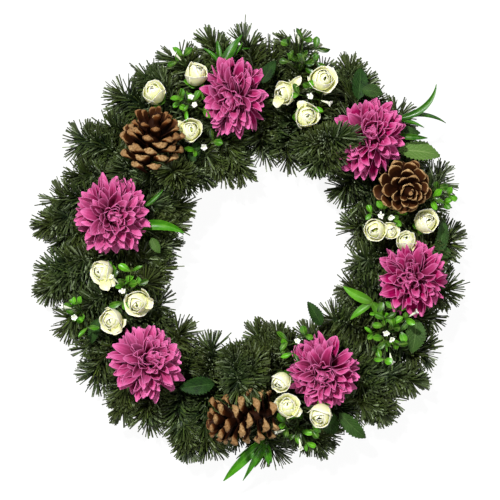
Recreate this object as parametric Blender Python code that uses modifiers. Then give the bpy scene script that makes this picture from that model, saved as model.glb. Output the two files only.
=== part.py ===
"""An artificial chrysanthemum wreath, lying flat on its back.

A flat frame of two welded wire rings carries a fir garland that is wound round it in
twenty turns. Six fabric chrysanthemums, three pine cones, fifteen ranunculus buds and
sprays of box, rose leaves and grass sit on the fir. Nothing on it moves.

World frame: metres, +Z up, +Y the top of the wreath as it would hang. The origin is
under the middle of the whole object, on the surface that it lies on.
"""

import math

import bmesh
import bpy
import numpy as np
from mathutils import Matrix, Vector
from mathutils.bvhtree import BVHTree

# Driving dimensions, in metres and degrees.
NAME = "chrysanthemum_wreath"
RING_RADIUS = 0.1435  # middle of the fir body, measured from the wreath's centre
FIR_TURNS = 20
FIR_REACH = 0.060  # from the middle of the fir body to its inner and outer rims
FIR_RISE = 0.034  # from the frame's plane to the crest of the fir
FRAME_HEIGHT = 0.026  # the frame's plane above the surface
TURN_FILL = 0.95  # how much of the pitch one turn of garland fills

FRAME_HALF_WIDTH = 0.025  # from the middle of the frame to each wire ring
WIRE_RADIUS = 0.00175
FRAME_TIES = 8
HOLLOW_REACH = 0.032  # half the width of the hollow that each turn leaves for the frame
HOLLOW_RISE = 0.007

CLEARANCE = 0.0008  # left between a decoration and whatever it lands on
DROP_HEIGHT = 0.3  # decorations are lowered from here
PLATE_THICKNESS = 0.0012

# Each entry gives the bearing from the wreath's centre (degrees, anticlockwise from +X)
# and the distance from it, then what that kind of piece needs.
CHRYSANTHEMUMS = {  # radius of the head, lean away from the vertical
    "top": (94.9, 0.1428, 0.0310, 8),
    "upper_right": (43.5, 0.1474, 0.0315, 12),
    "right": (-9.5, 0.1518, 0.0315, 14),
    "lower_right": (-59.4, 0.1297, 0.0325, 4),
    "lower_left": (-132.9, 0.1435, 0.0340, 8),
    "left": (166.4, 0.1330, 0.0350, 6),
}
PINE_CONES = {  # length, radius, lean, and the bearing that the tip leans to
    "upper_left": (131.7, 0.1357, 0.056, 0.0275, 32, 75),
    "right": (21.4, 0.1528, 0.052, 0.0235, 20, -50),
    "bottom": (268.3, 0.1544, 0.068, 0.0230, 80, 188),
}
RANUNCULUS = {  # radius of the bud, lean, and the bearing that it leans to
    "upper_left_outer": (121.6, 0.1700, 0.0115, 34, 121),
    "upper_left_top": (107.4, 0.1700, 0.0120, 30, 107),
    "upper_left_inner": (116.8, 0.1240, 0.0120, 6, 300),
    "top_left": (78.2, 0.1485, 0.0120, 14, 80),
    "top_inner": (67.8, 0.1330, 0.0125, 16, -80),
    "top_right": (67.4, 0.1700, 0.0135, 24, 60),
    "right_outer": (9.2, 0.1640, 0.0125, 20, 10),
    "right_inner": (9.4, 0.1165, 0.0120, 16, 200),
    "right_middle": (6.0, 0.1400, 0.0105, 8, 20),
    "lower_right_top": (-77.0, 0.1240, 0.0105, 14, 160),
    "lower_right_left": (-76.9, 0.1480, 0.0120, 14, 200),
    "lower_right_bottom": (-67.2, 0.1640, 0.0120, 18, -70),
    "left_upper": (188.2, 0.1390, 0.0120, 12, 200),
    "left_middle": (204.5, 0.1155, 0.0130, 12, 240),
    "left_lower": (206.5, 0.1440, 0.0120, 18, 230),
}
BOX_SPRIGS = {  # radius of the spray, lean
    "upper_left": (110.8, 0.1434, 0.0085, 6),
    "top": (75.6, 0.1880, 0.0150, 28),
    "right": (13.8, 0.1215, 0.0090, 4),
    "lower_right": (-29.6, 0.1500, 0.0190, 8),
    "bottom": (-75.6, 0.1750, 0.0120, 22),
    "left": (198.2, 0.1640, 0.0120, 20),
}
ROSE_LEAVES = {  # length, width, slope along the leaf, and the bearing of its tip
    "top_right": (55.6, 0.1760, 0.032, 0.020, 22, 62),
    "upper_right": (31.5, 0.1740, 0.044, 0.019, 24, 4),
    "right": (4.6, 0.1850, 0.030, 0.018, 30, 20),
    "lower_right": (-61.5, 0.1790, 0.034, 0.017, 26, -28),
    "lower_left": (248.0, 0.1350, 0.031, 0.018, 2, 186),
}
GRASS_TUFTS = {  # slope of the tuft, and the length and bearing of each blade
    "top": (93.0, 0.1780, 26, ((0.030, 112), (0.024, 84))),
    "upper_right": (39.0, 0.1790, 24, ((0.048, 46), (0.032, 12), (0.030, 78))),
    "lower_right": (-24.0, 0.1240, 6, ((0.034, 158), (0.030, 215))),
    "bottom": (-83.5, 0.1850, 30, ((0.060, 216), (0.048, 238), (0.032, 268))),
}

# Colour as red, green and blue from 0 to 1, then roughness and metallic.
FINISHES = {
    "galvanised_wire": ((0.42, 0.43, 0.42), 0.40, 1.0),
    "fir_film": ((0.030, 0.055, 0.018), 0.55, 0.0),
    "magenta_fabric": ((0.46, 0.085, 0.29), 0.85, 0.0),
    "cone_scale": ((0.130, 0.055, 0.022), 0.75, 0.0),
    "cream_fabric": ((0.88, 0.86, 0.66), 0.80, 0.0),
    "box_leaf": ((0.10, 0.36, 0.035), 0.50, 0.0),
    "rose_leaf": ((0.045, 0.14, 0.030), 0.55, 0.0),
    "grass_blade": ((0.055, 0.30, 0.040), 0.45, 0.0),
}


def clear_scene():
    """Removes every object, so that the model is all that the file holds."""
    for thing in list(bpy.data.objects):
        bpy.data.objects.remove(thing, do_unlink=True)


def make_collection(name):
    collection = bpy.data.collections.new(name)
    bpy.context.scene.collection.children.link(collection)
    return collection


def make_material(name, finish):
    """A Principled material of its own for one piece."""
    colour, roughness, metallic = FINISHES[finish]
    material = bpy.data.materials.new(name)
    material.use_nodes = True
    shader = material.node_tree.nodes["Principled BSDF"]
    shader.inputs["Base Color"].default_value = (*colour, 1.0)
    shader.inputs["Roughness"].default_value = roughness
    shader.inputs["Metallic"].default_value = metallic
    return material


def make_object(name, data, finish, collection):
    """Puts a mesh or a curve in the scene as one named piece."""
    piece = bpy.data.objects.new(name, data)
    collection.objects.link(piece)
    data.materials.append(make_material(name, finish))
    return piece


def polar(bearing, distance, height=0.0):
    """The point at a bearing in degrees and a distance from the wreath's centre."""
    angle = math.radians(bearing)
    return Vector((distance * math.cos(angle), distance * math.sin(angle), height))


# The wire frame -------------------------------------------------------------------------


def wire_ring(name, radius):
    bpy.ops.mesh.primitive_torus_add(
        major_segments=40,
        minor_segments=6,
        major_radius=radius,
        minor_radius=WIRE_RADIUS,
        location=(0, 0, FRAME_HEIGHT),
    )
    ring = bpy.context.object
    ring.name = name
    return ring


def wire_ties():
    """The straight wires that join the rings, as one mesh of separate rods."""
    shape = bmesh.new()
    for index in range(FRAME_TIES):
        turn = Matrix.Rotation(math.radians(3.0) + math.tau * index / FRAME_TIES, 4, "Z")
        along = Matrix.Rotation(math.pi / 2, 4, "Y")
        out = Matrix.Translation((RING_RADIUS, 0, FRAME_HEIGHT))
        bmesh.ops.create_cone(
            shape,
            cap_ends=True,
            segments=6,
            radius1=WIRE_RADIUS * 0.8,
            radius2=WIRE_RADIUS * 0.8,
            depth=2 * FRAME_HALF_WIDTH,
            matrix=turn @ out @ along,
        )
    mesh = bpy.data.meshes.new("wire_ties")
    shape.to_mesh(mesh)
    shape.free()
    return bpy.data.objects.new("wire_ties", mesh)


def wire_frame(collection, cutters):
    """Two concentric rings and their ties, welded into one piece."""
    outer = wire_ring("wire_ring_frame", RING_RADIUS + FRAME_HALF_WIDTH)
    inner = wire_ring("inner_ring", RING_RADIUS - FRAME_HALF_WIDTH)
    ties = wire_ties()
    for piece in (outer, inner):
        for owner in list(piece.users_collection):
            owner.objects.unlink(piece)
    collection.objects.link(outer)
    for guide in (inner, ties):
        cutters.objects.link(guide)
        guide.hide_render = True
        guide.display_type = "WIRE"
        weld = outer.modifiers.new("weld_" + guide.name, "BOOLEAN")
        weld.operation = "UNION"
        weld.object = guide
    outer.data.materials.append(make_material("wire_ring_frame", "galvanised_wire"))
    return outer


# The fir garland ------------------------------------------------------------------------


def rounded(wave):
    """Squares off a sine or cosine, so that an oval section becomes a rounded box."""
    return np.sign(wave) * np.abs(wave) ** 0.65


def fir_turn(name, bearing, collection):
    """One turn of the garland, from the underside over the fir's crest and back.

    The section is a rounded box. Its width is a share of the angle between two turns, so
    a turn is narrow at the inner rim and broad at the outer one, and it moves on by one
    pitch while it goes round the frame. Underneath it is pressed flat on the surface.
    """
    pitch = math.tau / FIR_TURNS
    sections, sides = 13, 8
    end = math.pi - 0.012
    swing, side = np.meshgrid(
        np.linspace(-end, end, sections),
        (np.arange(sides) + 0.5) * math.tau / sides,
        indexing="ij",
    )
    depth = 0.5 + 0.5 * rounded(np.sin(side))
    reach = HOLLOW_REACH + (FIR_REACH - HOLLOW_REACH) * depth
    rise = HOLLOW_RISE + (FIR_RISE - HOLLOW_RISE) * depth
    width = 0.5 * TURN_FILL * pitch * rounded(np.cos(side))
    angle = math.radians(bearing) + pitch * swing / math.tau + width
    radius = RING_RADIUS + reach * np.sin(swing)
    height = np.maximum(FRAME_HEIGHT + rise * np.cos(swing), 0.0)
    points = np.stack([radius * np.cos(angle), radius * np.sin(angle), height], axis=-1)

    last = (sections - 1) * sides
    faces = [tuple(range(sides)), tuple(range(last, last + sides))]
    for row in range(sections - 1):
        for column in range(sides):
            after = (column + 1) % sides
            low, high = row * sides, (row + 1) * sides
            faces.append((low + column, high + column, high + after, low + after))
    mesh = bpy.data.meshes.new(name)
    mesh.from_pydata(points.reshape(-1, 3).tolist(), [], faces)
    shape = bmesh.new()
    shape.from_mesh(mesh)
    bmesh.ops.recalc_face_normals(shape, faces=shape.faces)
    shape.to_mesh(mesh)
    shape.free()
    mesh.shade_smooth()
    mesh.set_sharp_from_angle(angle=math.radians(50))
    return make_object(name, mesh, "fir_film", collection)


# The decorations, each modelled round its own +Z axis -------------------------------------


def shaped_ball(name, segments, rings, shape_of):
    """A sphere whose points are moved by shape_of(azimuth, polar angle, parity).

    shape_of returns the point's distance from the axis and its height. Parity is 1 and 0
    in turn round each ring and from ring to ring, which staggers petals and scales.
    """
    ball = bmesh.new()
    bmesh.ops.create_uvsphere(ball, u_segments=segments, v_segments=rings, radius=1.0)
    for vertex in ball.verts:
        azimuth = math.atan2(vertex.co.y, vertex.co.x)
        tilt = math.acos(max(-1.0, min(1.0, vertex.co.z)))
        parity = (round(azimuth / math.tau * segments) + round(tilt / math.pi * rings)) % 2
        pole = tilt < 0.01 or tilt > math.pi - 0.01
        out, height = shape_of(azimuth, tilt, parity)
        out = 0.0 if pole else out
        vertex.co = (out * math.cos(azimuth), out * math.sin(azimuth), height)
    bmesh.ops.recalc_face_normals(ball, faces=ball.faces)
    mesh = bpy.data.meshes.new(name)
    ball.to_mesh(mesh)
    ball.free()
    return mesh


def chrysanthemum(name, radius, collection):
    """A domed head of staggered pointed petals over a shallow bowl of a back."""

    def petals(azimuth, tilt, parity):
        out = radius * math.sin(tilt) ** 0.8 * (1.0 if parity else 0.88)
        if tilt <= math.pi / 2:
            return out, 0.88 * radius * math.cos(tilt) + (0.05 * radius if parity else 0.0)
        return out * 0.97, 0.42 * radius * math.cos(tilt)

    mesh = shaped_ball(name, 26, 9, petals)
    return make_object(name, mesh, "magenta_fabric", collection)


def pine_cone(name, length, radius, collection):
    """A blunt egg with its widest part low down, knobbed by staggered open scales."""

    def scales(azimuth, tilt, parity):
        along = 0.5 - 0.5 * math.cos(tilt)  # 0 at the tip, 1 at the stalk
        bulge = math.sin(math.pi * along**1.25) ** 0.62
        out = radius * bulge * (1.0 if parity else 0.84)
        return out, length * (0.5 - along)

    mesh = shaped_ball(name, 14, 11, scales)
    return make_object(name, mesh, "cone_scale", collection)


def ranunculus(name, radius, collection):
    """A round bud of wrapped petals, dimpled on top and narrowed to its stalk."""

    def wraps(azimuth, tilt, parity):
        fold = 1.0 + 0.05 * math.cos(3 * azimuth + 2.5 * tilt)
        out = radius * fold * math.sin(tilt)
        dimple = 0.25 * radius * math.exp(-((tilt / 0.5) ** 2))
        height = 0.95 * radius * math.cos(tilt) - dimple
        return (out * 0.9 if tilt > 2.1 else out), height

    mesh = shaped_ball(name, 12, 7, wraps)
    mesh.shade_smooth()
    return make_object(name, mesh, "cream_fabric", collection)


def box_sprig(name, radius, collection):
    """A low mound with five lobes of small round leaves."""

    def lobes(azimuth, tilt, parity):
        lobe = 0.80 + 0.20 * math.cos(5 * azimuth)
        height = 0.55 if tilt < math.pi / 2 else 0.16
        return radius * lobe * math.sin(tilt), height * radius * math.cos(tilt)

    mesh = shaped_ball(name, 20, 6, lobes)
    mesh.shade_smooth()
    return make_object(name, mesh, "box_leaf", collection)


def rose_leaf(name, length, width, collection):
    """An arched leaf with a toothed edge, its stalk end at the back and its tip at +X."""
    steps = 12
    leaf = bmesh.new()
    bmesh.ops.create_grid(leaf, x_segments=steps, y_segments=2, size=0.5)
    for vertex in leaf.verts:
        along = vertex.co.x + 0.5
        tooth = 1.0 if round(along * steps) % 2 else 0.86
        half = 0.5 * width * math.sin(math.pi * (0.06 + 0.90 * along)) ** 0.8 * tooth
        across = 2 * vertex.co.y
        arch = 0.12 * length * math.sin(math.pi * along)
        vertex.co = (length * (along - 0.5), half * across, arch + 0.10 * width * abs(across))
    mesh = bpy.data.meshes.new(name)
    leaf.to_mesh(mesh)
    leaf.free()
    piece = make_object(name, mesh, "rose_leaf", collection)
    thickness = piece.modifiers.new("thickness", "SOLIDIFY")
    thickness.thickness = PLATE_THICKNESS
    thickness.offset = 0.0
    return piece


def grass_tuft(name, blades, slope_bearing, collection):
    """Flat pointed blades that spread from one foot, as one filled outline.

    Neighbouring blades part where they are far enough from the foot to clear each
    other. Bearings are taken from the direction that the tuft slopes to.
    """
    foot = 0.0022
    blades = sorted(blades, key=lambda blade: blade[1])
    halves = [0.075 * length for length, _ in blades]
    angles = [math.radians(bearing - slope_bearing) for _, bearing in blades]

    def at(angle, along, across=0.0):
        return Matrix.Rotation(angle, 3, "Z") @ Vector((along, across, 0.0))

    outline = [at(angles[0], foot, -foot), at(angles[0], 0.35 * blades[0][0], -halves[0])]
    for index, (length, _) in enumerate(blades):
        if index:
            parting = (angles[index] - angles[index - 1]) / 2
            valley = max(halves[index - 1 : index + 1]) / math.sin(parting)
            outline.append(at(angles[index] - parting, valley))
        shoulder = 0.75 * halves[index]
        outline.append(at(angles[index], 0.7 * length, -shoulder))
        outline.append(at(angles[index], length))
        outline.append(at(angles[index], 0.7 * length, shoulder))
    outline += [at(angles[-1], 0.35 * blades[-1][0], halves[-1]), at(angles[-1], foot, foot)]
    outline.append(at((angles[0] + angles[-1]) / 2, -foot))

    curve = bpy.data.curves.new(name, "CURVE")
    curve.dimensions = "2D"
    curve.fill_mode = "BOTH"
    curve.extrude = PLATE_THICKNESS / 2
    spline = curve.splines.new("POLY")
    spline.points.add(len(outline) - 1)
    for point, place in zip(spline.points, outline):
        point.co = (*place, 1.0)
    spline.use_cyclic_u = True
    return make_object(name, curve, "grass_blade", collection)


# Putting the decorations on the fir -------------------------------------------------------


def pose(piece, bearing, distance, lean, lean_bearing, spin=0.0):
    """Holds a piece over its place, its axis leaned over towards a bearing."""
    tip = math.radians(lean_bearing)
    axis = Vector((-math.sin(tip), math.cos(tip), 0.0))
    leaned = Matrix.Rotation(math.radians(lean), 4, axis)
    turned = Matrix.Rotation(math.radians(spin), 4, "Z")
    place = Matrix.Translation(polar(bearing, distance, DROP_HEIGHT))
    piece.matrix_world = place @ leaned @ turned
    bpy.context.view_layer.update()


def world_shape(piece):
    """A piece's points in the world and its triangles, with its modifiers applied."""
    evaluated = piece.evaluated_get(bpy.context.evaluated_depsgraph_get())
    mesh = evaluated.to_mesh()
    mesh.calc_loop_triangles()
    points = [piece.matrix_world @ vertex.co for vertex in mesh.vertices]
    faces = [tuple(triangle.vertices) for triangle in mesh.loop_triangles]
    evaluated.to_mesh_clear()
    return points, faces


class Pile:
    """The pieces that lie in place, onto which the next one is lowered."""

    def __init__(self):
        self.points = []
        self.faces = []

    def add(self, piece):
        points, faces = world_shape(piece)
        first = len(self.points)
        self.points += points
        self.faces += [tuple(first + corner for corner in face) for face in faces]

    def lower(self, piece):
        """Moves a piece straight down until it is CLEARANCE above the pile."""
        points, faces = world_shape(piece)
        below = BVHTree.FromPolygons(self.points, self.faces)
        own = BVHTree.FromPolygons(points, faces)
        low = Vector(map(min, zip(*points)))
        high = Vector(map(max, zip(*points)))
        spacing = 0.0007
        columns = [
            (x, y)
            for x in np.arange(low.x, high.x + spacing, spacing)
            for y in np.arange(low.y, high.y + spacing, spacing)
        ]
        columns += [(point.x, point.y) for point in points]
        columns += [
            (point.x, point.y)
            for point in self.points
            if low.x <= point.x <= high.x and low.y <= point.y <= high.y
        ]
        drop = DROP_HEIGHT
        for x, y in columns:
            under = own.ray_cast(Vector((x, y, -1.0)), Vector((0, 0, 1)))[0]
            top = below.ray_cast(Vector((x, y, 1.0)), Vector((0, 0, -1)))[0]
            if under is not None and top is not None:
                drop = min(drop, under.z - top.z)
        piece.location.z -= drop - CLEARANCE
        bpy.context.view_layer.update()
        self.add(piece)


def decorate(pile, collection):
    """Lowers the decorations onto the fir, from the flat sprays up to the flowers."""
    for place, (bearing, distance, slope, blades) in GRASS_TUFTS.items():
        piece = grass_tuft("grass_tuft_" + place, blades, bearing, collection)
        pose(piece, bearing, distance, slope, bearing, bearing)
        pile.lower(piece)
    for place, (bearing, distance, length, width, slope, tip) in ROSE_LEAVES.items():
        piece = rose_leaf("rose_leaf_" + place, length, width, collection)
        pose(piece, bearing, distance, slope, bearing, tip)
        pile.lower(piece)
    for place, (bearing, distance, radius, lean) in CHRYSANTHEMUMS.items():
        piece = chrysanthemum("chrysanthemum_" + place, radius, collection)
        pose(piece, bearing, distance, lean, bearing, spin=bearing)
        pile.lower(piece)
    for place, (bearing, distance, length, radius, lean, tip) in PINE_CONES.items():
        piece = pine_cone("pine_cone_" + place, length, radius, collection)
        pose(piece, bearing, distance, lean, tip, spin=tip)
        pile.lower(piece)
    for place, (bearing, distance, radius, lean) in BOX_SPRIGS.items():
        piece = box_sprig("box_sprig_" + place, radius, collection)
        pose(piece, bearing, distance, lean, bearing, spin=bearing)
        pile.lower(piece)
    for place, (bearing, distance, radius, lean, tip) in RANUNCULUS.items():
        piece = ranunculus("ranunculus_" + place, radius, collection)
        pose(piece, bearing, distance, lean, tip, spin=bearing)
        pile.lower(piece)


def centre_on_origin(pieces, guides):
    """Moves everything level, so that the whole object's box is centred on the origin."""
    points = [point for piece in pieces for point in world_shape(piece)[0]]
    low = [min(point[axis] for point in points) for axis in range(2)]
    high = [max(point[axis] for point in points) for axis in range(2)]
    shift = Vector((-(low[0] + high[0]) / 2, -(low[1] + high[1]) / 2, 0.0))
    for piece in [*pieces, *guides]:
        piece.location += shift
    bpy.context.view_layer.update()


def main():
    clear_scene()
    collection = make_collection(NAME)
    cutters = make_collection("cutters")
    wire_frame(collection, cutters)
    pile = Pile()
    for turn in range(FIR_TURNS):
        bearing = 360.0 * turn / FIR_TURNS
        pile.add(fir_turn(f"fir_turn_{turn + 1:02d}", bearing, collection))
    decorate(pile, collection)
    centre_on_origin(list(collection.objects), list(cutters.objects))


main()
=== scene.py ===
# %% [markdown]
# # An artificial chrysanthemum wreath
# This lesson dresses a plain solid model of a wreath: fir garland wound on a wire frame,
# with fabric flowers, pine cones and small leaves. The solids fix where every piece is and
# how big it is. They are loaded first and never moved, and each new piece stands for one.

# %% Load the solid model
import math
from functools import partial
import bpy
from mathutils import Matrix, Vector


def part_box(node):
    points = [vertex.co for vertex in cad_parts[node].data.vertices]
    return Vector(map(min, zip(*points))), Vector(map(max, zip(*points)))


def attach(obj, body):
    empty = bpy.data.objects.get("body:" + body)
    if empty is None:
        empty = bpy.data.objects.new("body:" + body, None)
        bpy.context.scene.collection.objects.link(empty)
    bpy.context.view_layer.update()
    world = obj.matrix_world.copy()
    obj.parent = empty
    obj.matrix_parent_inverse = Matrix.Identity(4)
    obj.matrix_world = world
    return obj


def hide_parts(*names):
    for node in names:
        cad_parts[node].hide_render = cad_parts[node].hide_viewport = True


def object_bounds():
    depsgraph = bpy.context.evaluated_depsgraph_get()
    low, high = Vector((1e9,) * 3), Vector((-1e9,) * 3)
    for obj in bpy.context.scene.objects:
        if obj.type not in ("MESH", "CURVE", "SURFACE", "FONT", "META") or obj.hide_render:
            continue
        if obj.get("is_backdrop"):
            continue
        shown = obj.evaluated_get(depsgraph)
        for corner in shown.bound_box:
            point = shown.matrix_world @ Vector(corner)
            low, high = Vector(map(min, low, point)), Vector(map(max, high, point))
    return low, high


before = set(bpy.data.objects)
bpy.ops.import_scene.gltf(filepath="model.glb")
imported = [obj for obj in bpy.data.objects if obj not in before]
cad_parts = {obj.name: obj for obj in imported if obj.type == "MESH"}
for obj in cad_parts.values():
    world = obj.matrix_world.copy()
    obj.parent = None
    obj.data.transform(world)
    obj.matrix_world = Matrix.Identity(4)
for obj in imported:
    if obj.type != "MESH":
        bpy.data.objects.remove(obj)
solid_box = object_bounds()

from types import SimpleNamespace

import bpy
import numpy as np

print("the solids measure", [round(high - low, 4) for low, high in zip(*solid_box)])

# %% [markdown]
# ## Measures shared by all pieces
# A piece's place comes from its solid's box. The wire frame's box gives the centre of the
# ring. Bearings are degrees anticlockwise from +X, as on a map drawn in mathematics.

# %% Places read from the solids
MM = 0.001
UP = np.array([0.0, 0.0, 1.0])


def corners(node):
    """The lowest and highest corner of a solid, as arrays."""
    return [np.array(corner, dtype=float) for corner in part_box(node)]


def middle(node):
    """The middle of a solid's box."""
    return sum(corners(node)) / 2


RING_CENTRE = middle("wire_ring_frame")
FRAME_OUTER = (corners("wire_ring_frame")[1] - RING_CENTRE)[0]
FRAME_HALF_WIDTH = 25 * MM
WIRE_RADIUS = 1.75 * MM
RING_RADIUS = FRAME_OUTER - FRAME_HALF_WIDTH - WIRE_RADIUS
TURNS = sum(node.startswith("fir_turn_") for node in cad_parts)
print("ring radius", round(RING_RADIUS, 4), "at", RING_CENTRE.round(4), "with", TURNS, "turns")


def bearing_of(point):
    """The bearing of a point from the ring's centre, in degrees."""
    return math.degrees(math.atan2(point[1] - RING_CENTRE[1], point[0] - RING_CENTRE[0]))


def level(bearing):
    """The level direction of a bearing in degrees: its cosine, its sine and 0."""
    return np.array([math.cos(math.radians(bearing)), math.sin(math.radians(bearing)), 0.0])


# %% [markdown]
# ## Turning and placing whole arrays
# A flower has a hundred petals, and each petal is the same surface turned another way. With
# numpy the petals are one array with four axes: petal, row, column and coordinate. A stack
# of matrices turns them all at once.


# %% Rotations for whole arrays
def turn(axis, angles):
    """Rotation matrices about x, y or z (0, 1, 2), one for each angle in radians.

    The two other axes, in cyclic order, take cos and sin of the angle as in the plane.
    """
    angles = np.atleast_1d(np.asarray(angles, dtype=float))
    first, second = (axis + 1) % 3, (axis + 2) % 3
    matrices = np.zeros((len(angles), 3, 3))
    matrices[:, axis, axis] = 1.0
    matrices[:, first, first] = matrices[:, second, second] = np.cos(angles)
    matrices[:, second, first] = np.sin(angles)
    matrices[:, first, second] = -np.sin(angles)
    return matrices


def turned(points, *stacks):
    """Applies stacks of matrices, the first one first, to points (copy, ..., 3)."""
    for matrices in stacks:
        matrices = np.broadcast_to(matrices, (len(points), 3, 3))
        points = np.einsum("nij,n...j->n...i", matrices, points)
    return points


def posed(points, centre, lean=0.0, towards=0.0, spin=0.0):
    """Spins a piece about +Z, leans its axis towards a bearing, and carries it to centre."""
    lean, towards, spin = np.radians([lean, towards, spin])
    matrix = turn(2, towards)[0] @ turn(1, lean)[0] @ turn(2, spin - towards)[0]
    return points @ matrix.T + centre


print("leant 90 degrees towards bearing 0, +Z points along", posed(UP, 0, 90).round(3))

# %% [markdown]
# ## Leaves, petals and scales are bent strips
# A petal, a leaf, a blade of grass and a cone scale differ in outline, cup and curl, but all
# are a narrow sheet that bends along its length. One function makes them all. The sheet then
# gets a thickness, so that each is a closed body with a real edge, as pressed fabric or
# moulded film has.


# %% The bent strip and its thickness
def step_means(rows):
    """The mean of each row of an array and the row before it; the first row stays."""
    return (rows + np.concatenate([rows[:, :1], rows[:, :-1]], axis=1)) / 2


def bent_strips(
    length, half_width, pitch, curl, cup, twist, outline, rows, columns,
    sway=0.0, ripple=0.0, phase=0.0, fold=1.6,
):
    """Strips (copy, row, column, 3) that leave the origin along +X, one for each length.

    rows is the number of rows, or the share s of the length at each. The slope there is
    pitch + curl * s^1.5, and the middle line is the running sum of short steps in that
    direction. The half width there is outline(s) of half_width. A point a share v across
    stands off the middle line by the half width times cup * |v|^fold
    + ripple * v^2 * sin(1.3 turns of s + 1.5 v + phase), and the cross-section turns by
    twist * s round the line. Seen from above, the line is an arc that has veered by
    2 * sway * s, and the width turns with it.
    """
    shares = np.arange(rows) / (rows - 1) if np.isscalar(rows) else np.asarray(rows)
    s = shares[None, :, None]
    v = np.linspace(-1, 1, columns)[None, None, :]
    length, half_width, pitch, curl, cup, twist, sway, ripple, phase = (
        np.asarray(value, dtype=float).reshape(-1, 1, 1)
        for value in (length, half_width, pitch, curl, cup, twist, sway, ripple, phase)
    )
    slope = pitch + curl * s**1.5
    steps = np.diff(s, axis=1, prepend=0.0) * length
    veer = 2 * sway * s
    run = steps * np.cos(step_means(slope))
    along = np.cumsum(run * np.cos(step_means(veer)), axis=1)
    aside = np.cumsum(run * np.sin(step_means(veer)), axis=1)
    rise = np.cumsum(steps * np.sin(step_means(slope)), axis=1)
    half = half_width * outline(s)
    across = half * v
    wave = np.sin(1.3 * math.tau * s + 1.5 * v + phase)
    stand = half * (cup * np.abs(v) ** fold + ripple * v**2 * wave)
    roll = twist * s
    side = across * np.cos(roll) - stand * np.sin(roll)
    lift = across * np.sin(roll) + stand * np.cos(roll)
    back = lift * np.sin(slope)
    x = along - back * np.cos(veer) - side * np.sin(veer)
    y = aside - back * np.sin(veer) + side * np.cos(veer)
    z = rise + lift * np.cos(slope)
    return np.stack(np.broadcast_arrays(x, y, z), axis=-1)


def shells(sheets, thickness):
    """Turns sheets (copy, row, column, 3) into thin closed bodies.

    The normal is the cross product of the two grid directions. Each side is the sheet moved
    by half the thickness along it. Returns points (copy, point, 3) and the faces, uv and
    underside mark of one copy.
    """
    copies, rows, columns, _ = sheets.shape
    normal = np.cross(np.gradient(sheets, axis=1), np.gradient(sheets, axis=2))
    normal /= np.maximum(np.linalg.norm(normal, axis=-1, keepdims=True), 1e-12)
    thickness = np.broadcast_to(np.asarray(thickness, dtype=float), (copies, rows, columns))
    half = thickness[..., None] / 2
    points = np.concatenate([sheets + normal * half, sheets - normal * half], axis=1)
    points = points.reshape(copies, -1, 3)

    grid = np.arange(rows * columns).reshape(rows, columns)
    top = np.stack([grid[:-1, :-1], grid[1:, :-1], grid[1:, 1:], grid[:-1, 1:]], -1).reshape(-1, 4)
    under = top[:, ::-1] + rows * columns
    ring = np.concatenate([grid[0, :-1], grid[:-1, -1], grid[-1, :0:-1], grid[:0:-1, 0]])
    after = np.roll(ring, -1)
    size = rows * columns
    rim = np.stack([ring, after, after + size, ring + size], axis=-1)
    faces = np.concatenate([top, under, rim])

    v, u = np.meshgrid(np.linspace(0, 1, rows), np.linspace(0, 1, columns), indexing="ij")
    uv = np.tile(np.stack([u, v], axis=-1).reshape(-1, 2), (2, 1))
    return points, faces, uv, np.repeat([0.0, 1.0], size)


sample = bent_strips(1.0, 0.1, 0, 0, 0, 0, np.sqrt, rows=9, columns=5)
print("a strip of 9 rows and 5 columns is a closed body of", len(shells(sample, 0.01)[1]), "faces")

# %% [markdown]
# ## Tubes for wires and stems
# A stem or a wire is a circle carried along a path. The circle needs a frame of two
# directions across the path. Taking them from a fixed reference direction is enough here,
# because no stem runs along it.


# %% Tubes along paths
REFERENCE = np.array([0.31, 0.17, 0.94])  # no stem or wire runs along it


def tube(path, radius, sides=6):
    """A closed tube along path (point, 3): rings of sides points and a flat cap at each end.

    A ring's directions are the cross product of the path's tangent with a fixed reference,
    and the cross product of the tangent with that.
    """
    tangent = np.gradient(path, axis=0)
    tangent /= np.linalg.norm(tangent, axis=1, keepdims=True)
    first = np.cross(tangent, REFERENCE)
    first /= np.linalg.norm(first, axis=1, keepdims=True)
    second = np.cross(tangent, first)
    angle = np.arange(sides) * math.tau / sides
    radius = np.broadcast_to(np.asarray(radius, dtype=float), len(path))[:, None, None]
    cosine, sine = np.cos(angle)[None, :, None], np.sin(angle)[None, :, None]
    ring = cosine * first[:, None] + sine * second[:, None]
    points = (path[:, None] + radius * ring).reshape(-1, 3)
    grid = np.arange(len(path) * sides).reshape(len(path), sides)
    beside = np.roll(grid, -1, axis=1)
    walls = np.stack([grid[:-1], beside[:-1], beside[1:], grid[1:]], axis=-1).reshape(-1, 4)
    spare = np.arange(1, sides - 1)
    first_cap = np.stack([np.zeros_like(spare), spare + 1, spare], axis=-1)
    last_cap = first_cap[:, ::-1] + grid[-1, 0]
    caps = np.concatenate([first_cap, last_cap])
    caps = np.concatenate([caps, caps[:, -1:]], axis=1)
    around = np.tile(angle / math.tau, len(path))
    along = np.repeat(np.linspace(0, 1, len(path)), sides)
    uv = np.stack([around, along], axis=-1)
    return points[None], np.concatenate([walls, caps]), uv, np.zeros(len(points))


print("a tube of 6 sides and 2 rings has", len(tube(np.eye(3)[:2], 0.1)[1]), "faces")
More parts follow.
